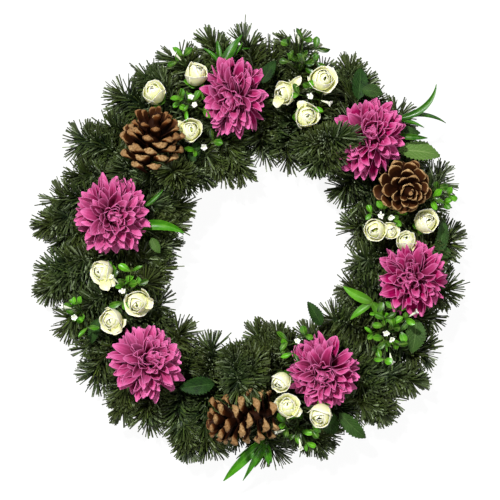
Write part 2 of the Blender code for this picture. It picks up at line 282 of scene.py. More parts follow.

# %% [markdown]
# ## From arrays to one Blender mesh
# A piece may hold thousands of needles, so its mesh is filled with foreach_set, which takes
# whole arrays. Each part also leaves a number called tone on its points. It differs from
# copy to copy, and the materials use it so that no two needles or petals match exactly. Some
# pieces also raise or lower it to paint whole copies darker or paler, as painted shade and
# painted light.


# %% Collecting parts into a piece
class Parts:
    """Copies of small shapes, gathered until they become one mesh."""

    def __init__(self):
        self.points, self.faces, self.uv = [], [], []
        self.tone, self.under, self.skin = [], [], []
        self.count = 0

    def add(self, shape, tone=0.5, skin=0, pose=None):
        """Adds every copy of a shape. tone is one number, or one for each copy.

        pose, if given, is the centre, lean, bearing and spin with which posed carries it.
        """
        points, faces, uv, under = shape
        if pose is not None:
            points = posed(points, *pose)
        copies, size, _ = points.shape
        shift = self.count + np.arange(copies)[:, None, None] * size
        self.points.append(points.reshape(-1, 3))
        self.faces.append((faces[None] + shift).reshape(-1, faces.shape[1]))
        self.uv.append(np.tile(uv, (copies, 1)))
        self.tone.append(np.repeat(np.broadcast_to(np.asarray(tone, dtype=float), copies), size))
        self.under.append(np.tile(under, copies))
        self.skin.append(np.full(copies * len(faces), skin))
        self.count += copies * size

    def piece(self, name, skins, replaces=(), sharp=50):
        """Makes the mesh object, gives it its materials, attaches it to the root body and hides the solids
        it replaces.

        A triangle is stored as a quad that names its last point twice, and loses it here.
        sharp is the angle in degrees past which an edge isn't smoothed.
        """
        faces = np.concatenate(self.faces)
        real = np.ones(faces.shape, dtype=bool)
        real[:, 3] = faces[:, 3] != faces[:, 2]
        order = faces[real]
        starts = np.concatenate([[0], np.cumsum(real.sum(axis=1))[:-1]])
        mesh = bpy.data.meshes.new(name)
        mesh.vertices.add(self.count)
        mesh.vertices.foreach_set("co", np.concatenate(self.points).astype(np.float32).ravel())
        mesh.loops.add(len(order))
        mesh.loops.foreach_set("vertex_index", order.astype(np.int32))
        mesh.polygons.add(len(faces))
        mesh.polygons.foreach_set("loop_start", starts.astype(np.int32))
        mesh.polygons.foreach_set("material_index", np.concatenate(self.skin).astype(np.int32))
        mesh.update(calc_edges=True)
        layer = mesh.uv_layers.new(name="strip")
        layer.uv.foreach_set("vector", np.concatenate(self.uv)[order].astype(np.float32).ravel())
        for label, values in (("tone", self.tone), ("under", self.under)):
            attribute = mesh.attributes.new(label, "FLOAT", "POINT")
            attribute.data.foreach_set("value", np.concatenate(values).astype(np.float32))
        mesh.shade_smooth()
        mesh.set_sharp_from_angle(angle=math.radians(sharp))
        for skin in skins:
            mesh.materials.append(skin)
        made = bpy.data.objects.new(name, mesh)
        bpy.context.scene.collection.objects.link(made)
        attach(made, "root")
        if replaces:
            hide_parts(*replaces)
        print(f"{name}: {int((real.sum(axis=1) - 2).sum())} triangles")


# %% [markdown]
# ## One helper for every material
# A material is a small graph of nodes. The helper below adds any node, sets its properties
# and fills or links its inputs. Colours are written as the hex values of a paint chart and
# turned into the linear light that the renderer adds up.


# %% The node helper
def linear(hex_colour):
    """An sRGB hex colour as linear light: each channel through the sRGB curve."""
    channels = np.array([int(hex_colour[at : at + 2], 16) for at in (1, 3, 5)]) / 255
    low = channels / 12.92
    high = ((channels + 0.055) / 1.055) ** 2.4
    return (*np.where(channels <= 0.04045, low, high).tolist(), 1.0)


def fill(socket, value):
    """Gives an input a number, a hex colour, or a link from another node's output."""
    if isinstance(value, bpy.types.NodeSocket):
        socket.id_data.links.new(value, socket)
    elif isinstance(value, str):
        socket.default_value = linear(value)
    else:
        socket.default_value = value


def add_node(tree, kind, *values, out=None, **more):
    """Adds a shader node and returns its output called out, or else its first output.

    values fill the inputs in use, from the top. A keyword with a capital letter fills the
    input of that name, and any other sets one of the node's properties.
    """
    made = tree.nodes.new("ShaderNode" + kind)
    for name, value in more.items():
        if name.islower():
            setattr(made, name, value)
    sockets = [socket for socket in made.inputs if socket.enabled]
    for socket, value in zip(sockets, values):
        fill(socket, value)
    for socket in sockets:
        if socket.name in more:
            fill(socket, more[socket.name])
    return next(socket for socket in made.outputs if socket.enabled and out in (None, socket.name))


print("mid grey #808080 is", round(linear("#808080")[0], 3), "of white in linear light")

# %% [markdown]
# ## What a material reads, and how colours are laid on
# Every strip and tube carries the same maps: across and along it, the tone of its copy, and
# whether a point is on its underside. Dyes, blooms, painted highlights and painted shade are
# laid over each other like coats: each coat covers more or less as some map goes up, so a coat
# is a map, the range of the map, how much it covers at the two ends of that range, and a colour.


# %% Maps, coats and the finished material
def new_material(name):
    """An empty material, the function that adds nodes to it, and the maps it can read.

    edge is 0 along the middle of a strip and 1 at its two edges: |2 * across - 1|.
    """
    material = bpy.data.materials.new(name)
    material.use_nodes = True
    node = partial(add_node, material.node_tree)
    strip = node("UVMap", uv_map="strip")
    across = node("SeparateXYZ", strip)
    twice = node("Math", across, 2.0, -1.0, operation="MULTIPLY_ADD")
    maps = SimpleNamespace(
        strip=strip,
        along=across.node.outputs["Y"],
        edge=node("Math", twice, operation="ABSOLUTE"),
        tone=node("Attribute", attribute_name="tone", out="Fac"),
        under=node("Attribute", attribute_name="under", out="Fac"),
        object=node("TexCoord", out="Object"),
    )
    return material, node, maps


def coated(node, colour, *coats):
    """A colour under coats, each a map, its range, the cover at its two ends, and a colour."""
    for value, low, high, cover_low, cover_high, coat in coats:
        cover = node("MapRange", value, low, high, cover_low, cover_high)
        colour = node("Mix", cover, colour, coat, data_type="RGBA")
    return colour


def dressed(material, inputs):
    """The material with its shader's inputs filled or linked."""
    shader = material.node_tree.nodes["Principled BSDF"]
    for name, value in inputs.items():
        fill(shader.inputs[name], value)
    print("made", material.name)
    return material


# %% [markdown]
# ## Cut PVC film: the fir needles
# Garland needles are slit from dyed PVC film about 0.1 mm thick and twisted between two
# wires. Film is a little glossy; a random share of the needles is painted pale, as painted
# highlights, and each needle is painted paler towards its tip, so that it looks darker deep in
# the brush, as painted shade. IOR of PVC is 1.53. Patches some 40 mm wide differ slightly in
# colour, as batches of film do, and clumps some 17 mm wide are painted darker, as painted shade.


# %% Fir needle material
def cut_pvc_film():
    """Dark needle film of random tone, olive and blue-green patches, painted highlights and painted shade.
    """
    material, node, maps = new_material("cut_pvc_film")
    patches = node("TexNoise", Vector=maps.object, Scale=25.0, Detail=2.0)
    clumps = node("TexNoise", Vector=maps.object, Scale=60.0, Detail=1.0)
    colour = coated(
        node, "#050a01",
        (maps.tone, 0.0, 0.85, 0.0, 1.0, "#566b28"),
        # painted highlight: needles of tone past 0.88 are painted pale
        (maps.tone, 0.88, 1.0, 0.0, 1.0, "#aebd98"),
        (patches, 0.42, 0.65, 0.0, 0.5, "#3a3f12"),
        (patches, 0.34, 0.54, 0.45, 0.0, "#244024"),
        # painted shade: clumps some 17 mm wide are painted darker
        (clumps, 0.4, 0.6, 0.4, 0.0, "#0a1405"),
        # painted light and shade: needles are painted paler towards the tip, so they look darker deep in
        # the brush
        (maps.along, 0.4, 1.0, 0.0, 0.35, "#5a6838"),
    )
    rough = node("MapRange", maps.tone, 0.0, 1.0, 0.55, 0.32)
    return dressed(
        material, {"Base Color": colour, "Roughness": rough, "IOR": 1.53, "Specular IOR Level": 0.3}
    )


FIR_FILM = cut_pvc_film()

# %% [markdown]
# ## Enamelled steel wire: the garland's core
# The needles are held by two steel wires 1 mm thick with a green enamel. The twist breaks
# the gloss, and bare specks about 1 mm wide show where the enamel has chipped.


# %% Core wire material
def enamelled_wire():
    """Dark green enamel with grey chips; the chipped steel is a little metallic."""
    material, node, maps = new_material("enamelled_steel_wire")
    specks = node("TexNoise", Vector=maps.object, Scale=900.0, Detail=3.0)
    colour = coated(node, "#26331d", (specks, 0.55, 0.75, 0.0, 1.0, "#7c8478"))
    rough = node("MapRange", specks, 0.3, 0.7, 0.28, 0.5)
    return dressed(material, {"Base Color": colour, "Roughness": rough, "Metallic": 0.3})


CORE_WIRE = enamelled_wire()

# %% [markdown]
# ## The galvanised wire frame
# The frame keeps its solid: welded steel wire is already the right shape. Drawn wire that
# has been hot-dip galvanised is dull silver with a spangle about 3 mm wide and white bloom
# in places.


# %% Frame wire material
def galvanised_steel():
    """Zinc with a spangle of two greys and a pale, rougher bloom."""
    material, node, maps = new_material("galvanised_steel_wire")
    spangle = node("TexVoronoi", Vector=maps.object, Scale=300.0)
    bloom = node("TexNoise", Vector=maps.object, Scale=60.0, Detail=4.0)
    colour = coated(
        node, "#9a9c9b",
        (spangle, 0.1, 0.7, 0.0, 1.0, "#c3c5c4"),
        (bloom, 0.5, 0.7, 0.0, 1.0, "#dfe0de"),
    )
    rough = node("MapRange", bloom, 0.3, 0.7, 0.32, 0.6)
    return dressed(material, {"Base Color": colour, "Roughness": rough, "Metallic": 1.0})


wire_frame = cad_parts["wire_ring_frame"]
wire_frame.data.materials.clear()
wire_frame.data.materials.append(galvanised_steel())
print("frame wire dressed")

# %% [markdown]
# ## Where the decorations press on the fir
# Each flower, cone and leaf is glued down on the garland, which parts under it. Before the
# needles are made, a list of presses says where and how low: the middle of each decoration,
# its radius, and the height of its underside.

# %% Presses from the solids' boxes
PRESSING = ("chrysanthemum_", "pine_cone_", "ranunculus_", "box_sprig_", "rose_leaf_")


def presses():
    """One row for each decoration: x, y, radius, height of its underside."""
    rows = []
    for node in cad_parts:
        if node.startswith(PRESSING):
            low, high = corners(node)
            radius = (high - low)[:2].mean() / 2
            rows.append([*middle(node)[:2], radius, low[2]])
    return np.array(rows)


PRESSES = presses()
print(len(PRESSES), "decorations press on the fir")


SUNK = 3 * MM  # how far the needles stay below a decoration's underside
RIM_LIFT = 18 * MM  # how much higher they may stand at its rim
NEAR_FLOOR = 4 * MM


def pressed(points):
    """Lowers points (..., 3) that stand where a decoration sits, and lifts them off the floor.

    Under a decoration the ceiling is just below its underside in the middle and rises to its
    rim with the fourth power of the distance. A height z below NEAR_FLOOR, n, becomes
    n * exp((z - n) / n), so that needles lie down on the floor and never pass it.
    """
    height = points[..., 2]
    for x, y, radius, under in PRESSES:
        share = np.hypot(points[..., 0] - x, points[..., 1] - y) / radius
        ceiling = under - SUNK + RIM_LIFT * share**4
        height = np.where(share < 1.0, np.minimum(height, ceiling), height)
    lying = NEAR_FLOOR * np.exp((height - NEAR_FLOOR) / NEAR_FLOOR)
    height = np.where(height < NEAR_FLOOR, lying, height)
    return np.concatenate([points[..., :2], height[..., None]], axis=-1)


# %% [markdown]
# ## The fir garland
# A garland is a bottle brush: strips of film, slit into a fringe, are caught between two
# wires, and the twist of the wires turns the fringe into a double helix of needles. It is
# wound on the frame like a thread on a hoop, so its wire runs up inside the ring, over the
# top, down outside and back underneath, and each turn moves on by one pitch. Seen from
# above, the brush shows end-on where it dives at the outer rim, which makes the round fans
# there. A second lap of smaller loops fills the gaps between the first.

# %% The garland's path
PITCH = math.tau / TURNS
PATH_POINTS = 300
FULLER_TOP = 8 * MM  # how much longer the loops are at the top of the ring
THIN_INSIDE = 12 * MM  # how much shorter they are inside it, at one bearing
THIN_BEARING, THIN_SPREAD = 48, 14  # in degrees
LAPS = (  # share of a pitch it is moved on, reach, rise, needle length, needles in a turn
    (0.0, 43 * MM, 14 * MM, 20 * MM, 1700),
    (0.5, 31 * MM, 12 * MM, 19.5 * MM, 1200),
)


def unit(vectors):
    """Vectors scaled to length one."""
    return vectors / np.maximum(np.linalg.norm(vectors, axis=-1, keepdims=True), 1e-12)


def loop_path(lap, turn_index):
    """The wire's middle line, from underneath (swing -pi) over the top to pi.

    The distance from the ring's centre is the ring radius + reach * sin(swing), the height
    is the frame's + rise * cos(swing), and the bearing moves on with the swing. A random
    share of each is added, because a hand winds it. The wreath is fullest at the top of the
    ring, where FULLER_TOP * sin(bearing)^8 is added. It is thinnest inside the ring at
    THIN_BEARING, where THIN_INSIDE is taken off with a bell curve.
    """
    swing = np.linspace(-math.pi, math.pi, PATH_POINTS)
    shift, reach, rise = LAPS[lap][:3]
    rng = np.random.default_rng([5, lap, turn_index])
    bearing = PITCH * (turn_index + shift + rng.normal(0, 0.10) + swing / math.tau)
    full = FULLER_TOP * (np.sin(bearing) > 0) * np.sin(bearing) ** 8
    reach = reach * rng.normal(1.0, 0.05) + full
    bell = np.exp(-(((np.degrees(bearing) - THIN_BEARING) / THIN_SPREAD) ** 2))
    reach = reach - THIN_INSIDE * bell * (np.sin(swing) < 0)
    radius = RING_RADIUS + reach * np.sin(swing)
    height = RING_CENTRE[2] + rise * np.cos(swing)
    flat = np.stack([radius * np.cos(bearing), radius * np.sin(bearing)], axis=-1)
    return np.concatenate([flat + RING_CENTRE[:2], height[:, None]], axis=-1)


def path_length(path):
    """The running length at each point of a path: the sum of the steps so far."""
    return np.concatenate([[0.0], np.cumsum(np.linalg.norm(np.diff(path, axis=0), axis=1))])


for lap in range(len(LAPS)):
    print("lap", lap + 1, "takes", round(path_length(loop_path(lap, 0))[-1], 3), "m of wire a turn")

# %% [markdown]
# ## Needles round a path
# The brush is made along any path. Frames along the path say which way is across it, and
# each needle takes its root, its angle round the wire and its length from there.


# %% Needles of a brush
TWIST_PITCH = 15 * MM  # one full turn of the two wires
NEEDLE_WIDTH = 1.4 * MM  # the slit film is 1 mm wide; wider, so that fewer needles cover the brush


def frames(path, at):
    """Points at shares of a path's length, with the tangent and two directions across it.

    The running length is inverted at the shares. The first direction is the tangent's cross
    product with a fixed reference, and the second is the tangent's with the first.
    """
    length = path_length(path)
    where = np.interp(at * length[-1], length, np.arange(len(path)))
    index = np.arange(len(path))
    slope = np.gradient(path, axis=0)
    point, tangent = (
        np.stack([np.interp(where, index, values[:, axis]) for axis in range(3)], axis=-1)
        for values in (path, slope)
    )
    tangent = unit(tangent)
    first = unit(np.cross(tangent, REFERENCE))
    return point, tangent, first, np.cross(tangent, first), at * length[-1]


def brush(path, needle_length, count, rng, forward=0.2, end_fan=False):
    """Needles (needle, 6, 3) of a double helix round a path.

    At the run l along the wire the fringe stands at the angle w = 2 pi l / twist pitch, or
    half a turn on, with a random spread of 0.45 radian. A needle leaves along
    cos(w) a + sin(w) b + lean * t, where a and b are the directions across and t is the
    tangent. With end_fan the lean grows over the last quarter of the path, so that the end of
    the brush is round. One needle in eighty is three tenths longer. A needle is a three-sided
    sliver: its triangle at the root, and the same at 0.85 of the size at the tip.
    """
    at = rng.random(count)
    root, tangent, first, second, run = frames(path, at)
    around = math.tau * run / TWIST_PITCH + math.pi * rng.integers(0, 2, count)
    around = (around + rng.normal(0, 0.45, count))[:, None]
    lean = rng.normal(forward, 0.20, (count, 1))
    if end_fan:
        lean = lean + 2.2 * np.clip((at[:, None] - 0.75) / 0.25, 0, 1) ** 2
    heading = unit(np.cos(around) * first + np.sin(around) * second + lean * tangent)
    length = needle_length * np.clip(rng.normal(1.0, 0.06, (count, 1)), 0.75, 1.2)
    length = np.where(rng.random((count, 1)) < 0.012, 1.3 * length, length)
    tip = root + length * unit(heading + rng.normal(0.0, 0.08, (count, 3)))
    flat = unit(np.cross(heading, rng.normal(0.0, 1.0, (count, 3))))
    wide = 0.5 * NEEDLE_WIDTH * rng.uniform(0.8, 1.2, (count, 1)) * flat
    thick = 0.7 * np.linalg.norm(wide, axis=1, keepdims=True) * np.cross(heading, flat)
    section = [-wide - thick, wide - thick, thick]
    ends = [root + side for side in section] + [tip + 0.85 * side for side in section]
    return np.stack(ends, axis=1)


NEEDLE_FACES = np.array([[3, 4, 1, 0], [4, 5, 2, 1], [5, 3, 0, 2], [0, 1, 2, 2], [5, 4, 3, 3]])
NEEDLE_UV = np.array([[0, 0], [1, 0], [0.5, 0], [0, 1], [1, 1], [0.5, 1]], dtype=float)
print("a needle has", len(NEEDLE_UV), "points and", len(NEEDLE_FACES), "faces")

# %% [markdown]
# ## Branch tips
# Some ends of the garland are bent out of the ring, into its hole, or over the edge of a
# flower or a cone, which ties the decorations to the fir.

# %% Where the branch tips start and end
OVER_TIPS = (  # a solid; start and end of the tip: bearing from its middle, offset, height in mm
    ("chrysanthemum_upper_right", (186, 58, 46), (174, 22, 90)),
    ("chrysanthemum_upper_right", (203, 56, 44), (197, 23, 82)),
    ("pine_cone_bottom", (101, 58, 44), (104, 24, 86)),
    ("pine_cone_bottom", (84, 56, 44), (80, 25, 82)),
    ("pine_cone_upper_left", (-50, 46, 46), (-60, 27, 80)),
    ("chrysanthemum_left", (70, 58, 40), (72, 36, 62)),
)
INWARD_TIPS = (  # bearings of start and end, and the end's distance from the ring's centre in mm
    (104, 98, 76), (116, 108, 77), (130, 123, 84), (156, 150, 78), (170, 161, 77),
    (185, 176, 80), (198, 189, 86), (280, 275, 80), (292, 285, 84),
)
OUTWARD_TIPS = (
    (97, 101, 196), (117, 121, 185), (169, 173, 190), (187, 191, 191), (227, 231, 190),
    (248, 252, 192), (285, 289, 190), (305, 309, 193), (317, 321, 194), (57, 61, 190),
)
RING_TIPS = tuple(
    ("wire_ring_frame", (first, offset, height), (last, away, end_height))
    for offset, height, end_height, tips in ((104, 44, 34, INWARD_TIPS), (170, 42, 36, OUTWARD_TIPS))
    for first, last, away in tips
)


def tip_path(node, start, end):
    """A branch tip that leaves the garland, over the edge of a decoration or out of the ring.

    It is a quadratic curve whose middle handle stands over the first third, at full height.
    """
    ends = []
    for bearing, offset, height in (start, end):
        flat = middle(node)[:2] + offset * MM * level(bearing)[:2]
        ends.append(np.array([*flat, height * MM]))
    handle = ends[0] + (ends[1] - ends[0]) * [0.35, 0.35, 0.95]
    s = np.linspace(0, 1, 60)[:, None]
    return (1 - s) ** 2 * ends[0] + 2 * s * (1 - s) * handle + s**2 * ends[1]


print(len(OVER_TIPS), "tips lie over decorations and", len(RING_TIPS), "leave the ring")


# %% Winding the garland, one turn at a time
WIRE_RINGS = 60
TIP_NEEDLE = 18 * MM
OVER_NEEDLES, RING_NEEDLES = 800, 440  # in a tip over a decoration, and in any other
PAINTED_GLINT_SHARE = 0.16  # share of the needles painted pale, as painted highlights


def core_wires(path):
    """Two wires 1 mm thick twisted round the path: its points plus a helix of 0.55 mm."""
    point, _, first, second, run = frames(path, np.linspace(0.003, 0.997, WIRE_RINGS))
    twist = (math.tau * run / TWIST_PITCH)[:, None]
    for phase in (0.0, math.pi):
        offset = np.cos(twist + phase) * first + np.sin(twist + phase) * second
        yield tube(point + 0.55 * MM * offset, 0.5 * MM, sides=3)


def add_brush(parts, path, needle_length, count, under_flowers, rng, **style):
    """Needles and core wires round a path; most needles are dark and a few are painted pale, as painted
    highlights.
    """
    points = brush(path, needle_length, count, rng, **style)
    points = pressed(points) if under_flowers else points
    # painted highlight: a random share of the needles is painted pale
    painted_glint = rng.random(len(points)) < PAINTED_GLINT_SHARE
    pale, dark = rng.uniform(0.9, 1.0, len(points)), 0.85 * rng.beta(0.6, 1.6, len(points))
    parts.add((points, NEEDLE_FACES, NEEDLE_UV, np.zeros(6)), tone=np.where(painted_glint, pale, dark))
    for wire in core_wires(path):
        parts.add(wire, skin=1)


def garland_turn(turn_index):
    """One turn of each lap, pressed down under the decorations, and any tip that starts in it."""
    rng = np.random.default_rng([7, turn_index])
    parts = Parts()
    for lap, (*_, needle_length, count) in enumerate(LAPS):
        add_brush(parts, loop_path(lap, turn_index), needle_length, count, True, rng)
    for tip in OVER_TIPS + RING_TIPS:
        path = tip_path(*tip)
        if int(bearing_of(path[0]) % 360 / 360 * TURNS) == turn_index:
            over = tip in OVER_TIPS
            count = OVER_NEEDLES if over else RING_NEEDLES
            add_brush(parts, path, TIP_NEEDLE, count, not over, rng, forward=0.5, end_fan=True)
    number = f"{turn_index + 1:02d}"
    skins = [FIR_FILM, CORE_WIRE]
    parts.piece(f"garland_turn_{number}", skins, [f"fir_turn_{number}"], sharp=20)


for turn_index in range(TURNS):
    garland_turn(turn_index)

# %% [markdown]
# ## Dyed polyester: the chrysanthemum heads
# The petals are die-cut from woven polyester, dyed and pressed between warm moulds, which
# leaves fine ribs along each petal. The threads are about 0.25 mm apart, too fine to show,
# so the weave is drawn at 0.4 mm as a bump alone. The cut edges fray a little; they and the
# petal tips are painted paler, as painted highlights. Each petal is painted darkest at its
# root and in the grooves between its ribs, as painted shade.


# %% Chrysanthemum fabric material
def woven_polyester(name, painted_shade_colour, body_colour, edge_colour, ribs):
    """Petal fabric: painted shade at root and in rib grooves, painted highlights at edges and tips,
    pressed ribs, weave.
    """
    material, node, maps = new_material(name)
    toned = coated(node, body_colour, (maps.tone, 0.0, 1.0, 0.0, 0.38, edge_colour))
    # painted shade: each petal is painted darkest at its root, deep in the head
    body = coated(node, painted_shade_colour, (maps.along, 0.30, 0.80, 0.0, 1.0, toned))
    # painted highlight: the cut edges and the petal tips are painted pale
    rim = node("MapRange", maps.edge, 0.80, 0.98, 0.0, 0.48)
    tip = node("MapRange", maps.along, 0.78, 1.0, 0.0, 0.65)
    pale = node("Math", rim, tip, operation="MAXIMUM")
    plain = node("Mix", pale, body, edge_colour, data_type="RGBA")
    stripes = node(
        "TexWave", Vector=maps.strip, Scale=ribs, Distortion=1.5, Detail=2.0,
        bands_direction="X", out="Fac",
    )
    # painted shade: the grooves between the pressed ribs are painted darker
    colour = coated(node, plain, (stripes, 0.0, 0.6, 0.15, 0.0, painted_shade_colour))
    threads = node("TexNoise", Vector=maps.object, Scale=2500.0, Detail=2.0)
    height = node("Math", threads, 0.35, stripes, operation="MULTIPLY_ADD")
    bump = node("Bump", Height=height, Strength=0.4, Distance=0.0004)
    return dressed(material, {
        "Base Color": colour, "Normal": bump, "Roughness": 0.8, "Specular IOR Level": 0.05,
        "Sheen Weight": 0.01, "Sheen Roughness": 0.4,
    })


MAGENTA = woven_polyester("woven_polyester_magenta", "#60062a", "#a00856", "#f48bc6", ribs=1.2)

# %% [markdown]
# ## Chrysanthemum heads
# A head is a stack of die-cut rings of petals on one stem, the widest at the back. Each ring
# stands up more than the one behind it, so the head becomes a dome. Petals here follow that
# stack: every layer has its own count, slope, length and curl, with much disorder because
# the pressed fabric is crushed in its box and never opens quite the same.

# %% The layers of a head
LAYERS = (  # petals, slope, length and start height as shares of the radius, curl in degrees
    (22, -16, 0.97, 0.08, 20),
    (21, -4, 1.01, 0.13, 14),
    (19, 9, 0.99, 0.19, 8),
    (17, 22, 0.94, 0.25, 4),
    (15, 35, 0.88, 0.31, 6),
    (13, 48, 0.82, 0.36, 14),
    (11, 60, 0.75, 0.40, 24),
    (8, 72, 0.68, 0.43, 42),
    (4, 80, 0.62, 0.45, 60),
)
PETAL_HALF_WIDTH = 4.7 * MM
FABRIC = 0.35 * MM  # the thickness of all petal fabric
STEM_RADIUS = 3 * MM  # petals start this far from a head's axis
SEAT = 6 * MM  # a head's lowest petals start this far above its solid's underside


def petal_outline(s):
    """Half width of a petal: sides that spread slowly, then a point with rounded shoulders."""
    spread = 0.42 + 0.58 * np.sin(np.pi / 2 * np.clip(s / 0.62, 0, 1))
    return spread * np.clip(1 - (np.clip(s - 0.60, 0, 1) / 0.41) ** 2, 0.03, 1) ** 0.62


def stretched(points, centre, factor, bearing):
    """Points drawn out along a bearing: the share of the offset that lies along it grows."""
    direction = level(bearing)
    return points + (factor - 1) * ((points - centre) @ direction)[..., None] * direction


print("a head has", sum(layer[0] for layer in LAYERS), "petals in", len(LAYERS), "layers")


# %% The heads
def chrysanthemum_head(place, lean, towards, painted_lightness, size, factor, bearing, mess, seed):
    """All petals of one head, from the outer layer to the crumpled middle."""
    node = "chrysanthemum_" + place
    low, high = corners(node)
    radius = (high - low)[:2].mean() / 2 * size
    rng = np.random.default_rng([11, seed])
    parts = Parts()
    base = np.array([*middle(node)[:2], low[2] + SEAT])
    swirl = rng.uniform(0, math.tau)
    for layer, (count, slope, share, start, curl) in enumerate(LAYERS):
        azimuth = math.tau * (np.arange(count) + 0.5 * (layer % 2)) / count
        azimuth = azimuth + rng.normal(0, 0.12 * mess, count)
        sheets = bent_strips(
            radius * share * rng.normal(0.98, 0.06, count) - STEM_RADIUS,
            PETAL_HALF_WIDTH * rng.normal(1.0, 0.14, count),
            np.radians(slope + rng.normal(0, 8 * mess, count)),
            np.radians(curl + rng.normal(0, 24, count)),
            rng.normal(0.60, 0.3, count),
            np.radians(rng.normal(0, 30 * mess, count)),
            petal_outline,
            rows=9,
            columns=5,
            sway=0.14 * np.sin(2 * azimuth + swirl) + rng.normal(0, 0.12 * mess, count),
            ripple=rng.normal(0.0, 0.15 * mess, count),
            phase=rng.uniform(0, math.tau, count),
            fold=1.4,
        )
        sheets += [STEM_RADIUS, 0, start * radius]
        points, *rest = shells(turned(sheets, turn(2, azimuth)), FABRIC)
        points = stretched(posed(points, base, lean, towards), base, factor, bearing)
        # painted light and shade: the head's first number paints all its petals paler, and below zero
        # darker
        tone = painted_lightness - 0.04 + 0.75 * rng.beta(1.2, 1.8, count) + 0.03 * layer
        parts.add((points, *rest), tone=tone)
    parts.piece("chrysanthemum_head_" + place, [MAGENTA], [node], sharp=70)


HEADS = {  # lean and its bearing, painted lightness, size, how far it is drawn out and its bearing, disorder
    "top": (24, 215, 0.08, 1.08, 1.20, 88, 1.3),
    "upper_right": (16, 60, -0.12, 1.08, 1.20, 68, 1.1),
    "right": (14, 200, -0.2, 1.16, 1.00, 0, 2.2),
    "lower_right": (12, 250, 0.06, 1.08, 1.04, 100, 1.4),
    "lower_left": (24, 40, 0.27, 1.05, 1.04, 120, 0.9),
    "left": (12, 330, 0.22, 1.06, 1.04, 100, 0.9),
}
for seed, (place, style) in enumerate(HEADS.items()):
    chrysanthemum_head(place, *style, seed)

# %% [markdown]
# ## Pine cones
# A cone is a spiral of woody scales round a core. Each new scale is 137.5 degrees further
# round, the golden angle, so no scale covers the one below. Dry scales open: those near the
# stalk bend back and those at the tip still point forward. The end of a scale is a thick
# pale pad, and the rest is dark brown.


# %% Cone scale material
def pine_scale(name, pad_start):
    """Weathered pine wood: dark inside, partly painted shade; red-brown outside, a tan pad and rim at the
    end.

    The pad is the end wall and, from pad_start on, the outer face. The rim of the inner face
    is the larger of two ramps, one towards the end and one towards the sides of the wide
    part. Streaks are about 1.5 mm apart and blotches 2 mm.
    """
    material, node, maps = new_material(name)
    streaks = node("TexNoise", Vector=maps.object, Scale=700.0, Detail=4.0)
    blotch = node("TexNoise", Vector=maps.object, Scale=520.0, Detail=3.0)
    # partly painted shade: the wood is near black at the core, where the scales shade each other
    root = node("Mix", streaks, "#0c0300", "#341503", data_type="RGBA")
    outer = coated(node, root, (maps.along, 0.66, 0.94, 0.0, 1.0, "#703b14"))
    inner = coated(node, root, (maps.along, 0.65, 1.0, 0.0, 1.0, "#4c280b"))
    wood = node("Mix", maps.under, inner, outer, data_type="RGBA")
    side = node("MapRange", maps.edge, 0.84, 0.96)
    wide_part = node("MapRange", maps.along, 0.70, 0.86)
    side_rim = node("Math", side, wide_part, operation="MULTIPLY")
    start = node("MapRange", maps.under, 0.0, 1.0, 0.95, pad_start)
    past = node("Math", maps.along, start, operation="SUBTRACT")
    end_rim = node("MapRange", past, -0.01, 0.03)
    rim = node("Math", side_rim, end_rim, operation="MAXIMUM")
    pad = coated(
        node, "#76542c",
        (blotch, 0.3, 0.65, 0.0, 1.0, "#b8986a"),
        (maps.tone, 0.0, 1.0, 0.0, 0.75, "#6e4420"),
    )
    return dressed(material, {
        "Base Color": node("Mix", rim, wood, pad, data_type="RGBA"),
        "Normal": node("Bump", Height=streaks, Strength=0.5, Distance=0.0005),
        "Roughness": 0.65,
        "Specular IOR Level": 0.12,
    })


SCALE_WOOD = pine_scale("pine_scale_wood_thin_pad", 0.92)
BROAD_PAD_WOOD = pine_scale("pine_scale_wood_broad_pad", 0.83)

# %% [markdown]
# ## The spiral of scales
# Scales are bent strips too, but with rows packed towards the end, where the pad swells.
# What makes each cone its own is how slope, reach and width change from stalk to tip.

# %% Outline and thickness of a scale
SCALE_ROWS = np.array([0.0, 0.3, 0.55, 0.74, 0.85, 0.92, 0.97, 1.0])
SWELLING = np.interp(  # thickness at each row in mm
    SCALE_ROWS, [0, 0.55, 0.74, 0.85, 0.92, 0.97, 1.0], [0.8, 1.0, 1.6, 3.2, 4.6, 5.0, 4.4]
)
SCALE_COLUMNS = 7


def scale_outline(s):
    """Half width of a scale: a wedge that widens to eight tenths and rounds off."""
    wedge = 0.34 + 0.66 * np.clip(s / 0.80, 0, 1)
    return wedge * np.sqrt(np.clip(1 - (np.clip(s - 0.76, 0, 1) / 0.25) ** 2, 0.06, 1))


def scale_thickness(pad, taper):
    """SWELLING * pad in the middle, less towards the sides by 0.8 |v|^taper, 0.5 mm at least."""
    across = 1 - 0.8 * np.abs(np.linspace(-1, 1, SCALE_COLUMNS)) ** taper
    return np.maximum(SWELLING[:, None] * across[None, :] * pad, 0.5) * MM


print("a scale's pad is up to", SWELLING.max(), "mm thick before its cone's own share")

# %% One cone
GOLDEN_ANGLE = math.pi * (3 - math.sqrt(5))
CONE_STEPS = [0.0, 0.15, 0.40, 0.65, 0.85, 1.0]  # from the stalk to the tip
CORE_SHARES = [0.22, 0.07]  # of the radius, at the stalk and at the tip


